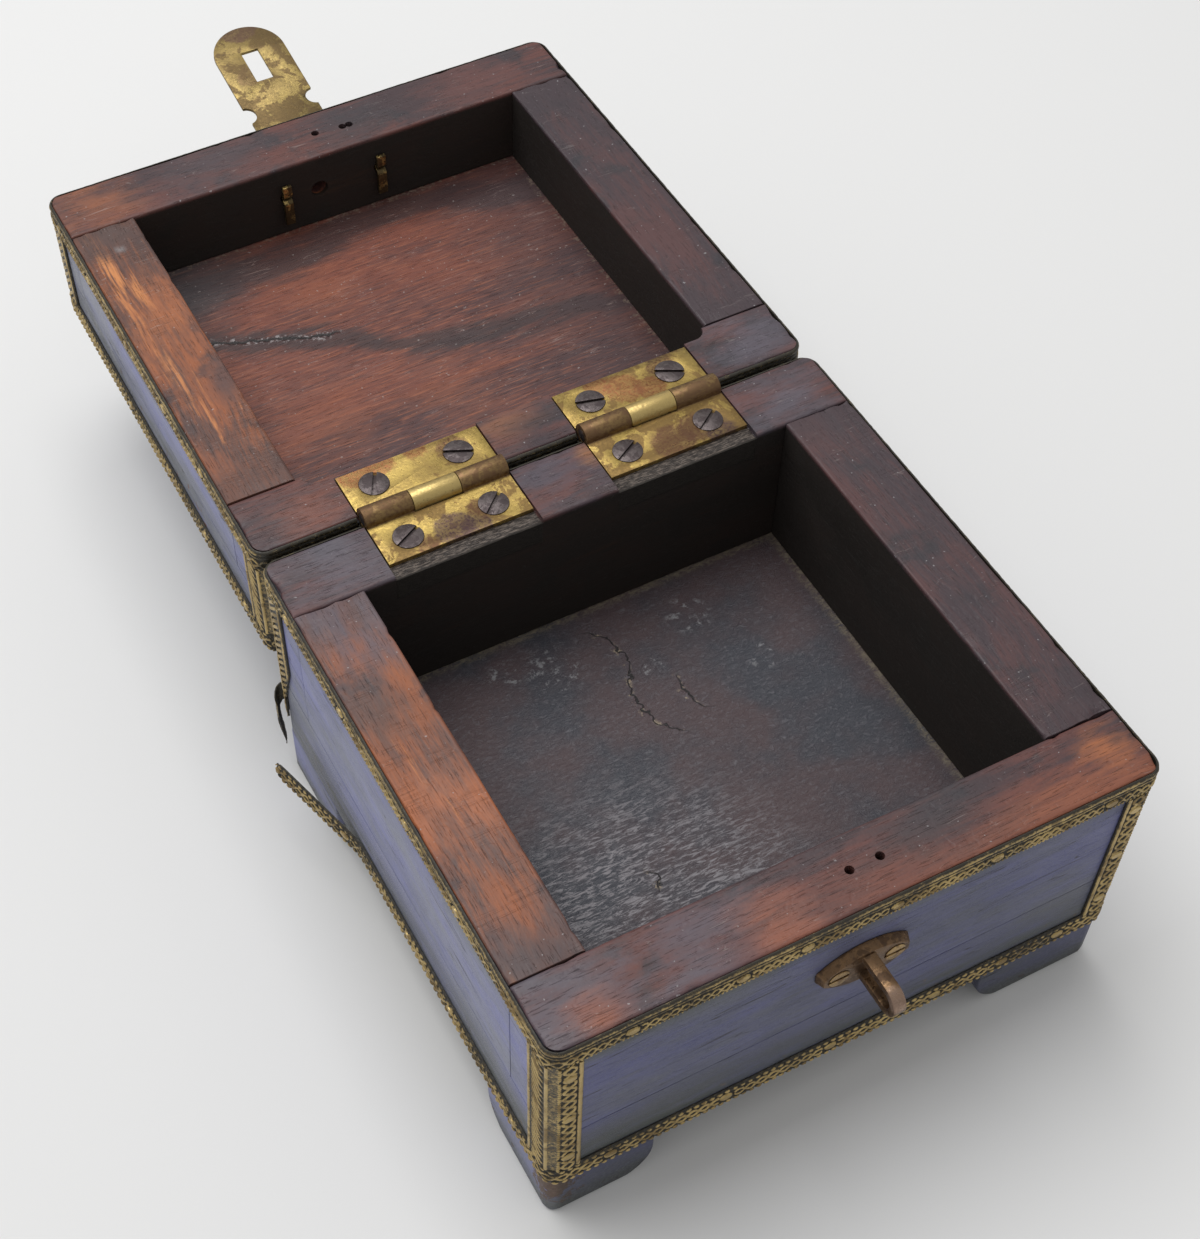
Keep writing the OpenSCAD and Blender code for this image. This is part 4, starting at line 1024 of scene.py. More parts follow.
BOARD_RADII = {2: (CORNER_R,) * 4, 0: (TIGHT,) * 4, 1: (TIGHT,) * 4}
walls = [
    ("base_front_wall", base_cross, long_wall_radii(True, 0.8, 0.7), True, "rail_wood_dark"),
    ("base_back_wall", base_cross, long_wall_radii(False, 0.6, 0.9), True, "rail_wood_dark"),
    ("base_left_wall", base_left, short_wall_radii(True, 0.7, 0.7), False, "rail_wood_warm"),
    ("base_right_wall", base_right, short_wall_radii(False, 0.9, 0.7), False, "rail_wood_dark"),
    ("lid_back_wall", lid_cross, long_wall_radii(True, 0.6, 0.9), True, "rail_wood_dark"),
    ("lid_front_wall", lid_cross, long_wall_radii(False, 0.9, 0.7), True, "rail_wood_dark"),
    ("lid_left_wall", lid_left, short_wall_radii(True, 0.7, 0.8), False, "rail_wood_warm"),
    ("lid_right_wall", lid_right, short_wall_radii(False, 0.8, 0.7), False, "rail_wood_dark"),
]
for seed, (node, material, radii, cut, slot) in enumerate(walls, 3):
    wall = worn_board(node + "_worn", node, node.split("_")[0], material, radii, seed=seed)
    if cut:
        cut_like(wall, node)
    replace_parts(wall, node)
    print(node, len(wall.data.polygons), "faces")

boards = (("base_bottom_board", base_board, "floor_wood"), ("lid_top_board", lid_board, "lid_panel_wood"))
for node, material, slot in boards:
    board = worn_board(node + "_worn", node, node.split("_")[0], material, BOARD_RADII, pitch=1.2, seed=40,
                       dents=0)
    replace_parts(board, node)
    print(node, len(board.data.polygons), "faces")

# %% [markdown]
# ## Pressed brass
# The edge strips are thin brass, pressed with a pattern and nailed on. Their hollows have filled with black
# dirt and polish, and only the ridges still shine. The dirt follows the relief exactly, so each strip
# carries its own height as an attribute, and the material turns that number from black dirt to bright
# metal.

# %% Brass and bronze finishes
def metal_finish(name, bright, dull, dirt, shine=0.34, cover=0.45, size=5.0, relief=False, patches=(),
                 barrel=None):
    """Old yellow metal: bright where it is rubbed, dull in islands, dirty in the hollows. Patches are
    coloured spots, each with a place in millimetres, a radius and a colour. Barrel is the colour of the
    rolled knuckles."""
    material, tree, shader = new_material(name)
    place = millimetres(tree)
    old = use(tree, TARNISH, Vector=place, Amount=cover, Size=size)
    marks = use(tree, WEAR, Vector=stretch(tree, place, (2.5, 2.5, 2.5)))
    cloud = noise(tree, place, 0.16, 4.0, 0.6)
    colour = mix(tree, step(tree, cloud, 0.36, 0.64), bright,
                 tuple(0.55 * a + 0.45 * b for a, b in zip(bright, dull)))
    colour = mix(tree, times(tree, old["Island"], 0.85), colour, dull)
    ragged = swing(tree, noise(tree, place, 0.5, 4.0, 0.65), 4.0)
    for centre, radius, patch_colour in patches:
        far = distance(tree, place, centre)
        inside = step(tree, plus(tree, far, ragged), radius - 0.8, radius + 0.6, 1.0, 0.0)
        inside = times(tree, inside, step(tree, old["Mottle"], 0.34, 0.56, 1.0, 0.62))
        colour = mix(tree, inside, colour, patch_colour)
    if barrel:
        low, high = box_mm("hinge_pin_left")
        way = split(tree, between(tree, place, tuple((low + high) / 2)))
        squares = plus(tree, maths(tree, "POWER", way[1], 2.0), maths(tree, "POWER", way[2], 2.0))
        rolled = step(tree, maths(tree, "SQRT", squares), 3.0, 3.5, 1.0, 0.0)
        colour = mix(tree, times(tree, rolled, step(tree, old["Mottle"], 0.3, 0.62, 1.0, 0.7)), colour,
                     barrel)
    metal = step(tree, old["Mottle"], 0.30, 0.66, 0.98, 0.72)
    dark = times(tree, old["Pits"], 0.7)
    if relief:
        height = attribute(tree, "relief")
        speck = swing(tree, old["Mottle"], 0.9)
        dark = step(tree, plus(tree, height, speck), 0.28, 0.62, 1.0, 0.0)
    colour = mix(tree, dark, colour, dirt)
    colour = mix(tree, times(tree, marks["Scratches"], 0.5), colour, tuple(min(1.0, 1.2 * c) for c in bright))
    metal = times(tree, metal, minus(tree, 1.0, times(tree, dark, 0.9)))
    rough = plus(tree, step(tree, old["Mottle"], 0.30, 0.70, shine - 0.06, shine + 0.16),
                 times(tree, largest(tree, dark, old["Island"]), 0.14))
    level = minus(tree, old["Mottle"], times(tree, dark, 0.5))
    level = minus(tree, level, times(tree, marks["Scratches"], 0.3))
    feed(tree, shader, Base_Color=colour, Metallic=metal, Roughness=rough, Normal=bump(tree, level, 0.05))
    return material


strip_brass = metal_finish("pressed brass", (0.52, 0.385, 0.165), (0.25, 0.175, 0.080), (0.022, 0.018, 0.011),
                           0.36, 0.42, 7.0, relief=True)
print("strip finish:", strip_brass.name)

# %% [markdown]
# ## A strip as a surface
# A strip follows the outline of the box. Its surface is a grid: one way along the outline, the other way up
# the strip, and each point stands off the wood by the height of the pressed pattern there. A second, plain
# grid just off the wood is its back, and the two are joined round their edges, so that each strip is a
# closed thin solid.

# %% Strip surfaces
def outline_at(s, low, high, radius=CORNER_R):
    """Point and outward direction on the rounded outline, s millimetres along it, counterclockwise from the
    middle of the corner at low X and low Y. Each side is a straight piece between two quarter arcs."""
    width, depth = high[0] - low[0] - 2 * radius, high[1] - low[1] - 2 * radius
    arc = radius * math.pi / 2
    starts = np.cumsum([0.0, width + arc, depth + arc, width + arc, depth + arc])
    s = np.mod(s, starts[4])
    side = np.searchsorted(starts, s, side="right") - 1
    run = s - starts[side] - arc / 2
    length = np.where(side % 2 == 0, width, depth)
    heading = side * math.pi / 2 + np.where(run < 0, run, np.maximum(run - length, 0)) / radius
    walk = np.clip(run, 0, length)
    corner_x = np.choose(side, [low[0] + radius, high[0] - radius, high[0] - radius, low[0] + radius])
    corner_y = np.choose(side, [low[1] + radius, low[1] + radius, high[1] - radius, high[1] - radius])
    turn = side * math.pi / 2
    centre = np.stack([corner_x + walk * np.cos(turn), corner_y + walk * np.sin(turn)], -1)
    normal = np.stack([np.sin(heading), -np.cos(heading)], -1)
    return centre + radius * normal, normal


def outline_length(low, high, radius=CORNER_R):
    """Length of the rounded outline."""
    return 2 * (high[0] - low[0] + high[1] - low[1] - 4 * radius) + 2 * math.pi * radius


def close_shell(front, back, closed):
    """Points and faces of a thin solid between two grids with the same rows. If closed, the rows run round
    a loop."""
    rows, columns, under = front.shape[0], front.shape[1], back.shape[1]
    a = np.arange(rows * columns).reshape(rows, columns)
    b = rows * columns + np.arange(rows * under).reshape(rows, under)
    if closed:
        a, b = np.vstack([a, a[:1]]), np.vstack([b, b[:1]])
    faces = []

    def weave(first, second):
        faces.extend(np.stack([first[:-1], first[1:], second[1:], second[:-1]], -1).reshape(-1, 4).tolist())

    weave(a[:, :-1], a[:, 1:])
    weave(b[:, 1:], b[:, :-1])
    weave(b[:, :1], a[:, :1])
    weave(a[:, -1:], b[:, -1:])
    if not closed:
        faces.append([*a[0], *b[0][::-1]])
        faces.append([*a[-1][::-1], *b[-1]])
    return np.concatenate([front.reshape(-1, 3), back.reshape(-1, 3)]), faces


def strip_piece(name, body, plan, normal, z_low, z_high, relief, columns, closed=False, back=0.03):
    """A strip over rows of plan points. Each row runs from z_low to z_high, and relief gives height and
    gloss for a row number and a level."""
    rows = len(plan)
    part = np.linspace(0, 1, columns)
    z = z_low[:, None] + (z_high - z_low)[:, None] * part
    row = np.repeat(np.arange(rows)[:, None], columns, 1)
    height, gloss = relief(row, z)
    front = np.dstack([plan[:, None, 0] + normal[:, None, 0] * height,
                       plan[:, None, 1] + normal[:, None, 1] * height, z])
    level = np.stack([z_low, z_high], -1)
    under = np.dstack([plan[:, None, 0] + normal[:, None, 0] * back + 0 * level,
                       plan[:, None, 1] + normal[:, None, 1] * back + 0 * level, level])
    points, faces = close_shell(front, under, closed)
    tone = np.concatenate([gloss.ravel(), np.zeros(rows * 2)])
    piece = make_piece(name, points, faces, body, strip_brass, sharp=50, relief=tone)
    return piece


print("outline of the base:", round(outline_length(BASE_LOW, BASE_HIGH), 1), "mm")

# %% [markdown]
# ## The pressed patterns
# The long strips carry a chain between two ribs. The chain is two or three waves that cross, each a raised
# wire, and the eyes between them are the dark hollows. Here and there the chain is broken by a flat bright
# oval. The strip round the foot has a string of beads along both edges, and the strip round the rim has a
# broad plain rib on top.

# %% Patterns
STRIP_W = 6.5
GROUND, RIDGE = 0.34, 0.93
MOAT, OVAL_TOP, HIGHEST = GROUND - 0.08, 0.86, 0.945
OVAL_GLOSS = 1.25


def bump_over(distance, half):
    """A round ridge: the square root of one minus the square of the share of its half width."""
    return np.sqrt(np.clip(1 - (distance / half) ** 2, 0, 1))


def chain(along, across, strands, swing, pitch, wire):
    """Crossing waves. Strand k lies at swing times the sine of 180 degrees of along over pitch, plus its
    share of a turn, and the ridge of the nearest strand counts."""
    best = np.zeros_like(along)
    for k in range(strands):
        phase = math.pi * along / pitch + 2 * math.pi * k / strands
        slope = np.sqrt(1 + (swing * math.pi / pitch * np.cos(phase)) ** 2)
        best = np.maximum(best, bump_over((across - swing * np.sin(phase)) / slope, wire))
    return best


def beads(along, across, middle, half, pitch):
    """A string of round beads along a line."""
    place = (along / pitch - np.round(along / pitch)) * pitch
    return bump_over(np.hypot(place * 1.15 * half / (pitch / 2), across - middle), half)


def oval(along, across, at, middle, long_r, short_r):
    """How far a point lies inside an oval: one at its middle, zero on its edge, less outside."""
    return 1 - np.hypot((along - at) / long_r, (across - middle) / short_r)


def band_relief(s, low_z, low, high, foot, ovals, seed):
    """Relief of a long strip as a function of row and level. In the gap between base and lid its gloss is
    lowered, which darkens it as painted shade.
    """
    plan, _ = outline_at(s, low, high)
    seam = (BASE_HIGH[1] + LID_LOW[1]) / 2
    # Painted shade: strips in the narrow gap between base and lid are darkened.
    gap_shade = smooth_step(3.5, 2.5, np.abs(plan[:, 1] - seam))

    def relief(row, z):
        along = s[row]
        across = z - low_z
        top = STRIP_W - across
        rough = noise3(np.dstack([along, across * 1.0, 0 * along + seed]), 0.9, seed)
        wide = noise3(np.dstack([along, across, 0 * along]), 7.0, seed + 2)
        if foot:
            middle = STRIP_W / 2
            up = chain(along, across - middle, 2, 1.15, 3.0, 0.42)
            up = np.maximum(up, beads(along, across, 0.72, 0.62, 2.0))
            up = np.maximum(up, beads(along + 0.7, top, 0.72, 0.62, 2.0))
            eye = np.zeros_like(up)
        else:
            middle = 2.30
            up = chain(along, across - middle, 2, 1.05, 2.4, 0.40)
            notch = 0.5 + 0.5 * np.cos(2 * math.pi * along / 1.05)
            up = np.maximum(up, bump_over(across - 0.42, 0.40) * (0.45 + 0.55 * notch))
            eye = bump_over(top - 0.75, 0.62) * (0.80 + 0.3 * (rough - 0.5))
            eye = np.maximum(eye, bump_over(top - 2.05, 0.48) * (0.72 + 0.4 * (rough - 0.5)))
            up = np.maximum(up, eye)
        height = GROUND + (RIDGE - GROUND) * up * (0.86 + 0.2 * wide)
        gloss = up * (0.72 + 0.5 * (wide - 0.5))
        gloss = np.where(eye >= up, gloss * 0.95, gloss)
        for at in ovals:
            inside = oval(along, across, at, middle, 1.75, 1.15)
            flat = smooth_step(0.0, 0.18, inside)
            moat = smooth_step(-0.42, -0.2, inside) * (1 - flat)
            height = height * (1 - moat) + MOAT * moat
            height = height * (1 - flat) + OVAL_TOP * flat
            gloss = gloss * (1 - moat) * (1 - flat) + OVAL_GLOSS * flat
        # Painted shade in the gap between base and lid.
        gloss = gloss * (1 - 0.42 * gap_shade[row])
        edge = smooth_step(0.0, 0.22, np.minimum(across, top))
        height = 0.12 + (height - 0.12) * (0.45 + 0.55 * edge)
        return np.minimum(height + 0.05 * (rough - 0.5), HIGHEST), gloss

    return relief


def corner_relief(a, low_z, high_z, seed):
    """Relief of a corner strip. Positive a runs over the front or back, negative a over the side."""

    def relief(row, z):
        from_fold = a[row]
        rise = z - low_z
        rough = noise3(np.dstack([from_fold, rise, 0 * rise]), 0.8, seed)
        face = chain(rise, from_fold - 3.75, 2, 1.35, 3.0, 0.42)
        coin = 0.5 + 0.5 * np.cos(2 * math.pi * rise / 0.95)
        face = np.maximum(face, bump_over(from_fold - 1.55, 0.42) * (0.5 + 0.5 * coin))
        face = np.maximum(face, bump_over(from_fold - 6.25, 0.66) * 0.92)
        rope_turn = (rise + from_fold * 0.9) / 2.3
        rope = bump_over((rope_turn - np.round(rope_turn)) * 2.3 / 1.35, 0.58)
        side = rope * bump_over(from_fold + 4.0, 2.6)
        side = np.maximum(side, bump_over(from_fold + 0.95, 0.5) * 0.95)
        side = np.maximum(side, bump_over(from_fold + 7.35, 0.66) * 0.92)
        up = np.where(from_fold > 0, face, side)
        height = GROUND + (RIDGE - GROUND) * up * (0.88 + 0.2 * (rough - 0.5))
        channel = smooth_step(1.5, 1.2, np.abs(from_fold))
        gloss = np.maximum(up * 0.86, 0.40 * channel) + 0.12 * (rough - 0.5)
        for share in (0.12, 0.50, 0.88):
            inside = oval(rise, from_fold, share * (high_z - low_z), 3.75, 1.2, 1.75)
            flat = smooth_step(0.0, 0.2, inside)
            moat = smooth_step(-0.4, -0.18, inside) * (1 - flat)
            height = height * (1 - moat) * (1 - flat) + MOAT * moat + OVAL_TOP * flat
            gloss = gloss * (1 - moat) * (1 - flat) + OVAL_GLOSS * flat
        return np.minimum(height + 0.04 * (rough - 0.5), HIGHEST), gloss

    return relief


print("heights in millimetres: ground", GROUND, "ridge", RIDGE, "oval", OVAL_TOP)

# %% [markdown]
# ## The four long strips
# The strip round the base's foot has torn loose on the left side: it leaves the wood in a bend and its end
# stands off, straight. The other three run right round. Over the hinges the rim strips were cut down to
# clear the barrels, so the top of the strip drops there.

# %% Long strips
STEP_ALONG, STEP_UP = 0.26, 0.23
COLUMNS = int(STRIP_W / STEP_UP) + 1
FRONT_OVALS = [17.9, 43.7, 59.3, 81.3, 106.5, 136.4]
FOOT_OVALS = [14.5, 44.1, 71.8, 100.3, 119.2, 135.1]
BARREL_ROOM = 74.9
STRIP_INSET = 0.3


def hinge_tops(plan, top):
    """The top of a rim strip: lower where a hinge barrel passes in front of it."""
    tops = np.full(len(plan), top)
    for name in ("hinge_pin_left", "hinge_pin_right"):
        low, high = box_mm(name)
        near = (plan[:, 0] > low[0] - 0.5) & (plan[:, 0] < high[0] + 0.5) & (abs(plan[:, 1] - low[1]) < 8)
        tops[near] = BARREL_ROOM
    return tops


def more_ovals(first, total, seed):
    """Ovals for the rest of the outline, unevenly 22 to 34 millimetres apart."""
    steps = np.random.default_rng(seed).uniform(22, 34, 30)
    places = first[-1] + np.cumsum(steps)
    return first + [p for p in places if p < total - 12]


def round_band(node, low, high, low_z, foot, ovals, cut, seed):
    """A strip that runs right round one half of the box."""
    total = outline_length(low, high)
    s = np.arange(0, total - 0.5 * STEP_ALONG, total / round(total / STEP_ALONG))
    plan, normal = outline_at(s, low, high)
    bottoms = np.full(len(s), low_z)
    tops = bottoms + STRIP_W
    if cut:
        tops = hinge_tops(plan, low_z + STRIP_W)
    relief = band_relief(s, low_z, low, high, foot, more_ovals(ovals, total, seed), seed)
    piece = strip_piece(node + "_pressed", node.split("_")[0], plan, normal, bottoms, tops, relief, COLUMNS,
                        True)
    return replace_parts(piece, node)


def torn_band(node, low, high, low_z, ovals, seed):
    """The foot strip: a straight loose end, a bend, and then the outline as far as the back left corner."""
    bend_r, bend, loose = 20.0, math.radians(15), 30.0
    leave_y = high[1] - 48.5
    total = outline_length(low, high)
    start = total - (leave_y - low[1] - CORNER_R) - CORNER_R * math.pi / 4
    end = total - (high[1] - low[1] - 2 * CORNER_R) - 3 * math.pi / 4 * CORNER_R
    straight = np.arange(loose, 0, -STEP_ALONG)
    turn = np.linspace(bend, 0, 20)
    centre = np.array([low[0] - bend_r, leave_y])
    out = np.array([math.cos(bend), math.sin(bend)])
    along = np.array([-math.sin(bend), math.cos(bend)])
    loose_plan = centre + bend_r * out + straight[:, None] * along
    bend_plan = centre + bend_r * np.stack([np.cos(turn), np.sin(turn)], -1)
    rest = np.arange(start + STEP_ALONG, total + end, STEP_ALONG)
    rest_plan, rest_normal = outline_at(rest, low, high)
    plan = np.concatenate([loose_plan, bend_plan, rest_plan])
    normal = np.concatenate([np.tile(-out, (len(straight), 1)), -np.stack([np.cos(turn), np.sin(turn)], -1),
                             rest_normal])
    s = np.concatenate([start - bend_r * bend - straight, start - bend_r * turn, rest])
    bottoms = np.full(len(s), low_z)
    torn = smooth_step(3.0, 0.0, s - s[0])
    ragged = noise3(np.stack([s * 3, s, s], -1), 1.0, seed)
    tops = bottoms + STRIP_W - torn * 1.3 * ragged
    bottoms = bottoms + torn * (0.6 + 1.2 * ragged)
    places = more_ovals(ovals, total, seed)
    relief = band_relief(s, low_z, low, high, True, places + [p + total for p in places], seed)
    piece = strip_piece(node + "_pressed", "base", plan, normal, bottoms, tops, relief, COLUMNS)
    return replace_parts(piece, node)


rim_z = RIM - STRIP_INSET - STRIP_W
round_band("base_rim_band", BASE_LOW, BASE_HIGH, rim_z, False, FRONT_OVALS, True, 21)
round_band("lid_rim_band", LID_LOW, LID_HIGH, rim_z, False, FRONT_OVALS, True, 22)
round_band("lid_board_band", LID_LOW, LID_HIGH, LID_LOW[2] + STRIP_INSET, True, FOOT_OVALS, False, 23)
torn_band("base_plinth_band", BASE_LOW, BASE_HIGH, BASE_LOW[2] + STRIP_INSET, FOOT_OVALS, 24)
print("columns up a strip:", COLUMNS)

# %% [markdown]
# ## The eight corner strips
# Each is one strip folded round an upright corner: a chain with ovals and a milled rib on the front, a rope
# on the side, and a plain rib along each edge. The one at the back left of the base has come off the back.
# Its side is torn slantwise, and a curled tail hangs from its fold. Its dull inner face shows from the
# front and is painted black as the shade inside the curl.

# %% Corner strips
FACE_LEG, SIDE_LEG = 6.95, 8.15
CORNER_GAP = 0.2


def corner_rows(low, high, right, back):
    """Rows of a corner strip: plan points, directions, and the signed distance from the fold."""
    total = outline_length(low, high)
    half = total / 2
    across = high[0] - low[0] - 2 * CORNER_R + CORNER_R * math.pi / 2
    middle = {(0, 0): 0.0, (1, 0): across, (1, 1): half, (0, 1): half + across}[(right, back)]
    face_is_ahead = right == back
    a = np.linspace(-SIDE_LEG, FACE_LEG, 66)
    a = a if face_is_ahead else a[::-1]
    s = middle + (a if face_is_ahead else -a)
    plan, normal = outline_at(s, low, high)
    return plan, normal, a


def corner_piece(node, low, high, right, back, low_z, high_z, seed, torn=False):
    """One folded strip between the long strips above and below it."""
    plan, normal, a = corner_rows(low, high, right, back)
    bottoms = np.full(len(a), low_z)
    tops = np.full(len(a), high_z)
    if torn:
        ragged = noise3(np.stack([a * 2, a, a], -1), 0.7, seed)
        slant = np.interp(-a, [2.75, SIDE_LEG], [7.6, 23.0]) + 1.2 * ragged
        bottoms = bottoms + np.where(a > 1.2, 9.0, np.where(a < -2.75, slant, 0.4 * ragged))
    relief = corner_relief(a, low_z, high_z, seed)
    columns = int((high_z - low_z) / 0.27)
    piece = strip_piece(node + "_pressed", node.split("_")[0], plan, normal, bottoms, tops, relief, columns)
    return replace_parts(piece, node)


base_span = (BASE_LOW[2] + STRIP_INSET + STRIP_W + CORNER_GAP, rim_z - CORNER_GAP)
lid_span = (LID_LOW[2] + STRIP_INSET + STRIP_W + CORNER_GAP, rim_z - CORNER_GAP)
for seed, (where, right, back) in enumerate(
        (("front_left", 0, 0), ("front_right", 1, 0), ("back_left", 0, 1), ("back_right", 1, 1)), 31):
    corner_piece("base_corner_" + where, BASE_LOW, BASE_HIGH, right, back, *base_span, seed,
                 where == "back_left")
    turned = where.replace("front", "far").replace("back", "front").replace("far", "back")
    corner_piece("lid_corner_" + turned, LID_LOW, LID_HIGH, right, back, *lid_span, seed + 4)
print("corner strips from", base_span[0].round(2), "to", base_span[1].round(2))

# %% [markdown]
# ## The curled tail
# Where the corner strip tore off the back of the box, its lower end has rolled up into a curl with a pointed
# tip, whose inner face is painted black as shade. Bending a flat strip with a modifier would give an even
# roll. The real sheet is ragged, so its curl is a part of a tube instead: at each level it runs from one
# angle to another, and those angles draw the tear.

# %% Curled tail
TAIL_TOP, TAIL_TIP = 31.5, 4.5
TAIL_LEVELS = [4.5, 8.6, 13.7, 17.8, 20.0, 21.6, 23.8, 24.7, 25.5, 29.3, 31.5]
TAIL_FROM = [92, 80, 89, 104, 104, 104, 60, -30, -45, -45, -45]
TAIL_TO = [92, 110, 139, 170, 200, 200, 200, 195, 180, 102, 20]


def curled_tail():
    """The sheet is part of a tube. At each level it spans from one angle round the tube to another, and
    both are read off the outline of the tear. The outer face and the inner face are the sheet's thickness
    apart."""
    rib, room, wood_gap, gap, leave = 0.95, 0.3, 0.1, LID_LOW[1] - BASE_HIGH[1], math.radians(135)
    radius = (gap - rib - room + CORNER_R - (CORNER_R + wood_gap) * math.sin(leave)) / (1 + math.sin(leave))
    fold = np.array([BASE_LOW[0] + CORNER_R, BASE_HIGH[1] - CORNER_R])
    middle = fold + (CORNER_R + wood_gap + radius) * np.array([math.cos(leave), math.sin(leave)])
    z = np.linspace(TAIL_TIP, TAIL_TOP, 72)
    ragged = 6 * (noise3(np.stack([z, z, z], -1), 0.9, 3) - 0.5)
    start = np.interp(z, TAIL_LEVELS, TAIL_FROM) + ragged * smooth_step(-40, 20,
                                                                        np.interp(z, TAIL_LEVELS, TAIL_FROM))
    end = np.maximum(np.interp(z, TAIL_LEVELS, TAIL_TO) + ragged, start + 4)
    angle = np.radians(start[:, None] + (end - start)[:, None] * np.linspace(0, 1, 30))
    level = np.repeat(z[:, None], 30, 1)
    dent = 0.10 * (noise3(np.dstack([angle * radius, level, level]), 1.7, 8) - 0.5)
    sheets = [np.dstack([middle[0] + (r + dent) * np.cos(angle), middle[1] + (r + dent) * np.sin(angle),
                         level]) for r in (radius - 0.06, radius - 0.45)]
    points, faces = close_shell(sheets[0][::-1], sheets[1][::-1], False)
    # Painted shade: the inner face gets tone zero, which the brass finish colours black.
    tone = np.concatenate([np.full(angle.size, 0.42), np.zeros(angle.size)])
    piece = make_piece("base_corner_back_left_tail", points, faces, "base", strip_brass, sharp=50,
                       relief=tone)
    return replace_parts(piece, "base_corner_back_left")


tail = curled_tail()
print("tail faces:", len(tail.data.polygons))

# %% [markdown]
# ## Hinges, staple and hasp
# The fittings are cut and bent from sheet brass and bronze. The CAD model has their exact shapes, so they
# are copied and only their edges are rounded. What tells them apart is their tarnish: each leaf was handled
# and cleaned differently, so each has its own copper-brown patches. Their places were read off the
# photograph.

# %% Fittings
COPPER = (0.21, 0.085, 0.040)
BROWN = (0.13, 0.066, 0.040)
PLUM = (0.080, 0.048, 0.050)
YELLOW = ((0.40, 0.285, 0.085), (0.20, 0.125, 0.048), (0.045, 0.032, 0.016))
STEEL = ((0.120, 0.100, 0.098), (0.070, 0.055, 0.056), (0.016, 0.013, 0.012))
BRONZE = ((0.20, 0.120, 0.062), (0.095, 0.057, 0.034), (0.022, 0.016, 0.012))
OLIVE = ((0.30, 0.220, 0.080), (0.15, 0.100, 0.046), (0.034, 0.025, 0.016))
KNUCKLE = (0.155, 0.088, 0.050)
GOLD = (0.56, 0.42, 0.17)

leaf_lid_left = metal_finish("left lid leaf", *YELLOW, 0.36, 0.30, 6.0,
                             patches=((spot(-44, 159.5, 78), 4.6, COPPER),
                                      (spot(-37, 159.8, 78), 3.6, COPPER),
                                      (spot(-28, 160.5, 78), 3.0, COPPER),
                                      (spot(-19, 156.5, 78), 4.2, BROWN)), barrel=GOLD)
leaf_lid_right = metal_finish("right lid leaf", *YELLOW, 0.36, 0.42, 6.0, patches=(
    (spot(28, 155, 78), 5.0, COPPER), (spot(34, 152, 78), 4.2, COPPER), (spot(22, 158, 78), 3.4, COPPER),
    (spot(40, 157.5, 78), 4.0, BROWN)), barrel=GOLD)
leaf_base_left = metal_finish("left base leaf", *YELLOW, 0.38, 0.48, 6.0, patches=(
    (spot(-30, 133, 78), 5.2, PLUM), (spot(-25, 131, 78), 4.2, PLUM), (spot(-22, 136, 78), 3.2, BROWN),
    (spot(-38, 131, 78), 2.8, BROWN)), barrel=KNUCKLE)
leaf_base_right = metal_finish("right base leaf", *YELLOW, 0.38, 0.62, 6.0,
                               patches=((spot(30, 133, 78), 5.8, BROWN), (spot(37, 135, 78), 4.6, BROWN),
                                        (spot(42, 131, 78), 4.0, PLUM)), barrel=KNUCKLE)
screw_metal = metal_finish("screw steel", *STEEL, 0.34, 0.5, 3.0)
staple_metal = metal_finish("staple bronze", *BRONZE, 0.30, 0.45, 5.0, patches=(
    (spot(0.8, -14.6, 59.8), 3.6, (0.36, 0.25, 0.19)),))
staple_screw_metal = metal_finish("staple screws", (0.44, 0.30, 0.13), (0.20, 0.12, 0.06),
                                  (0.02, 0.014, 0.01), 0.30, 0.4, 3.0)
hasp_metal = metal_finish("hasp brass", *OLIVE, 0.34, 0.52, 7.0, patches=(
    (spot(0.8, 341, 76), 6.2, (0.155, 0.092, 0.066)), (spot(9.6, 309, 71), 2.6, (0.05, 0.034, 0.022)),
    (spot(-3, 322, 72), 4.0, (0.17, 0.11, 0.055))))
split_metal = metal_finish("split pins", (0.46, 0.33, 0.12), (0.055, 0.040, 0.024), (0.02, 0.014, 0.009),
                           0.28, 0.62, 3.0)

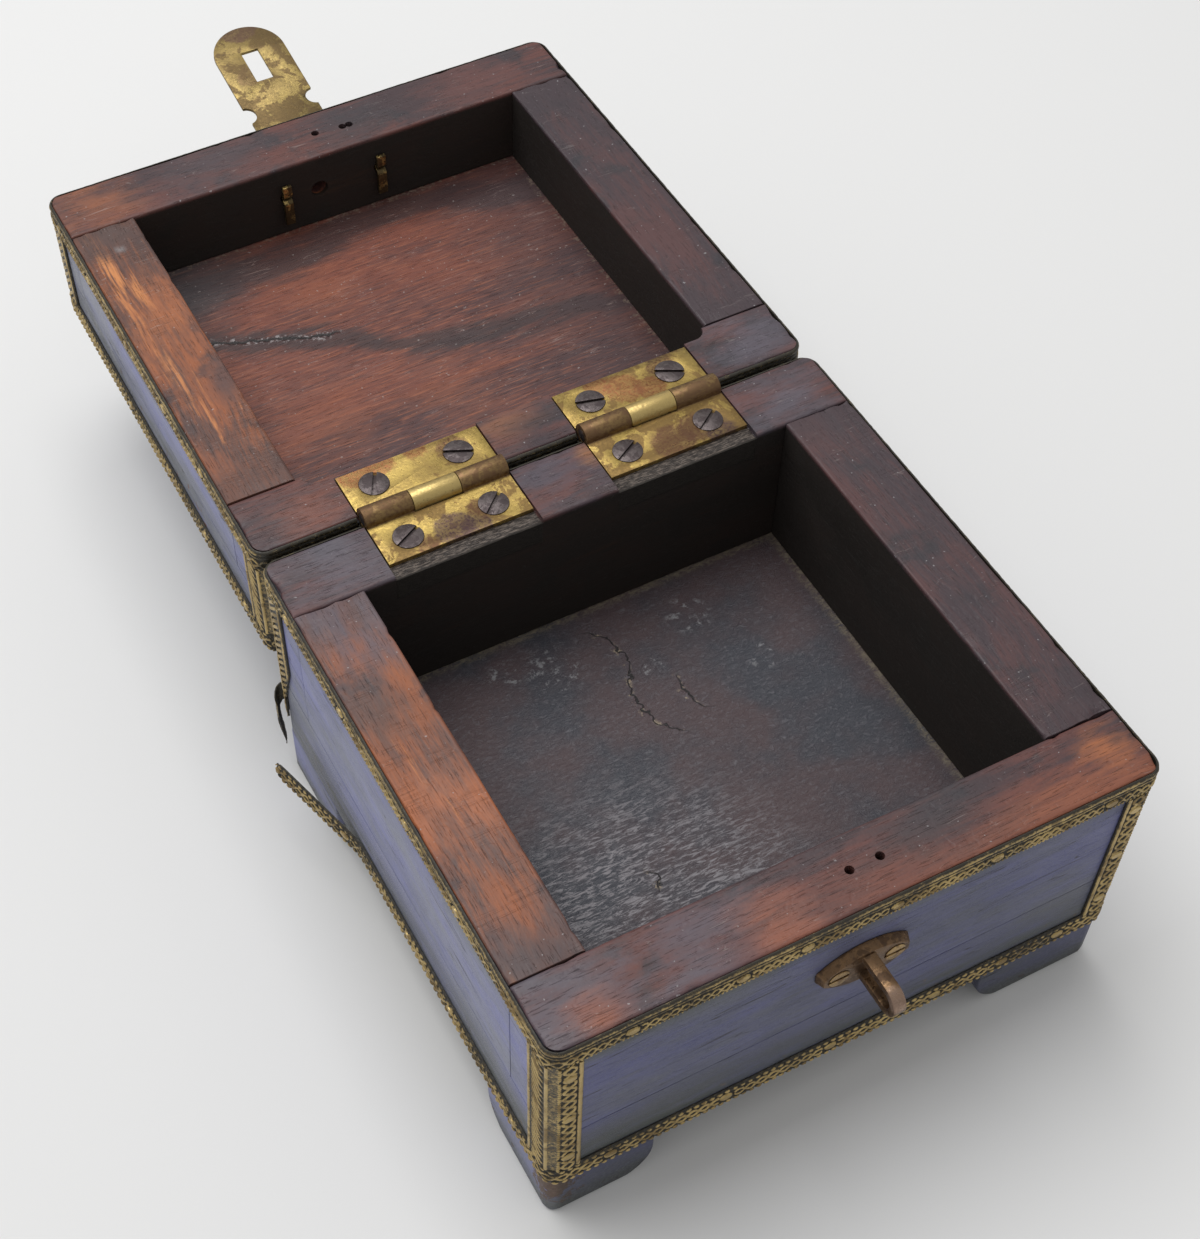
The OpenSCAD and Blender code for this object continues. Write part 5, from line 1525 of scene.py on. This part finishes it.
fittings = [
    ("hinge_lid_leaf_left", "lid", leaf_lid_left, 0.22, "hinge_brass"),
    ("hinge_lid_leaf_right", "lid", leaf_lid_right, 0.22, "hinge_brass"),
    ("hinge_base_leaf_left", "base", leaf_base_left, 0.22, "hinge_brass"),
    ("hinge_base_leaf_right", "base", leaf_base_right, 0.22, "hinge_brass"),
    ("hinge_pin_left", "base", screw_metal, 0.15, "hinge_pin_steel"),
    ("hinge_pin_right", "base", screw_metal, 0.15, "hinge_pin_steel"),
    ("base_hinge_screws", "base", screw_metal, 0.15, "screw_steel"),
    ("lid_hinge_screws", "lid", screw_metal, 0.15, "screw_steel"),
    ("staple", "base", staple_metal, 0.45, "staple_bronze"),
    ("staple_screws", "base", staple_screw_metal, 0.15, "staple_screw_brass"),
    ("split_pin_left", "lid", split_metal, 0.2, "split_pin_brass"),
    ("split_pin_right", "lid", split_metal, 0.2, "split_pin_brass"),
    ("hasp_pin", "lid", screw_metal, 0.15, "split_pin_brass"),
    ("hasp_plate", "hasp", hasp_metal, 0.22, "hasp_brass"),
]
for node, body, material, width, slot in fittings:
    piece = softened(node, body, material, width)
    print(node, len(piece.data.polygons), "faces")

# %% [markdown]
# ## The feet
# The four bracket feet are blocks glued under the corners and painted with the walls. Floors are hard on
# them: the paint has gone from their edges and brown wood shows, most of all at the front left corner.

# %% Feet
def foot_finish():
    """The blue paint over brown wood. The wood shows in patches near the bottom and where the chips are.
    Every face but the left ones is darkened as painted shade.
    """
    material, tree, shader = new_material("foot paint")
    place = millimetres(tree)
    up = split(tree, place)[2]
    low_down = step(tree, up, 0.0, 12.0, 1.0, 0.15)
    paint = use(tree, PAINT, Vector=place, Grime=low_down)
    wood = noise(tree, place, 0.22, 5.0, 0.7)
    near = put(tree, "ShaderNodeVectorMath", {0: place, 1: spot(-75, 0, 12)},
               operation="DISTANCE").outputs["Value"]
    rubbed = plus(tree, wood, step(tree, near, 2.0, 16.0, 0.26, 0.0))
    bare = largest(tree, paint["Bare"], step(tree, rubbed, 0.66, 0.72))
    brown = mix(tree, wood, (0.045, 0.030, 0.024), (0.14, 0.075, 0.045))
    colour = mix(tree, bare, paint["Color"], brown)
    # Painted shade: every face but the left ones is darkened.
    side = step(tree, split(tree, place)[0], BASE_LOW[0] + 1.5, BASE_LOW[0] + 3.5)
    colour = mix(tree, times(tree, side, 0.75), colour, (0.45, 0.46, 0.42), "MULTIPLY")
    level = minus(tree, paint["Height"], times(tree, bare, 0.6))
    feed(tree, shader, Base_Color=colour, Roughness=paint["Roughness"], Normal=bump(tree, level, 0.12))
    return material


foot_paint = foot_finish()
for node in ("foot_front_left", "foot_front_right", "foot_back_left", "foot_back_right"):
    foot = softened(node, "base", foot_paint, 0.5, 3)
    print(node, len(foot.data.polygons), "faces")
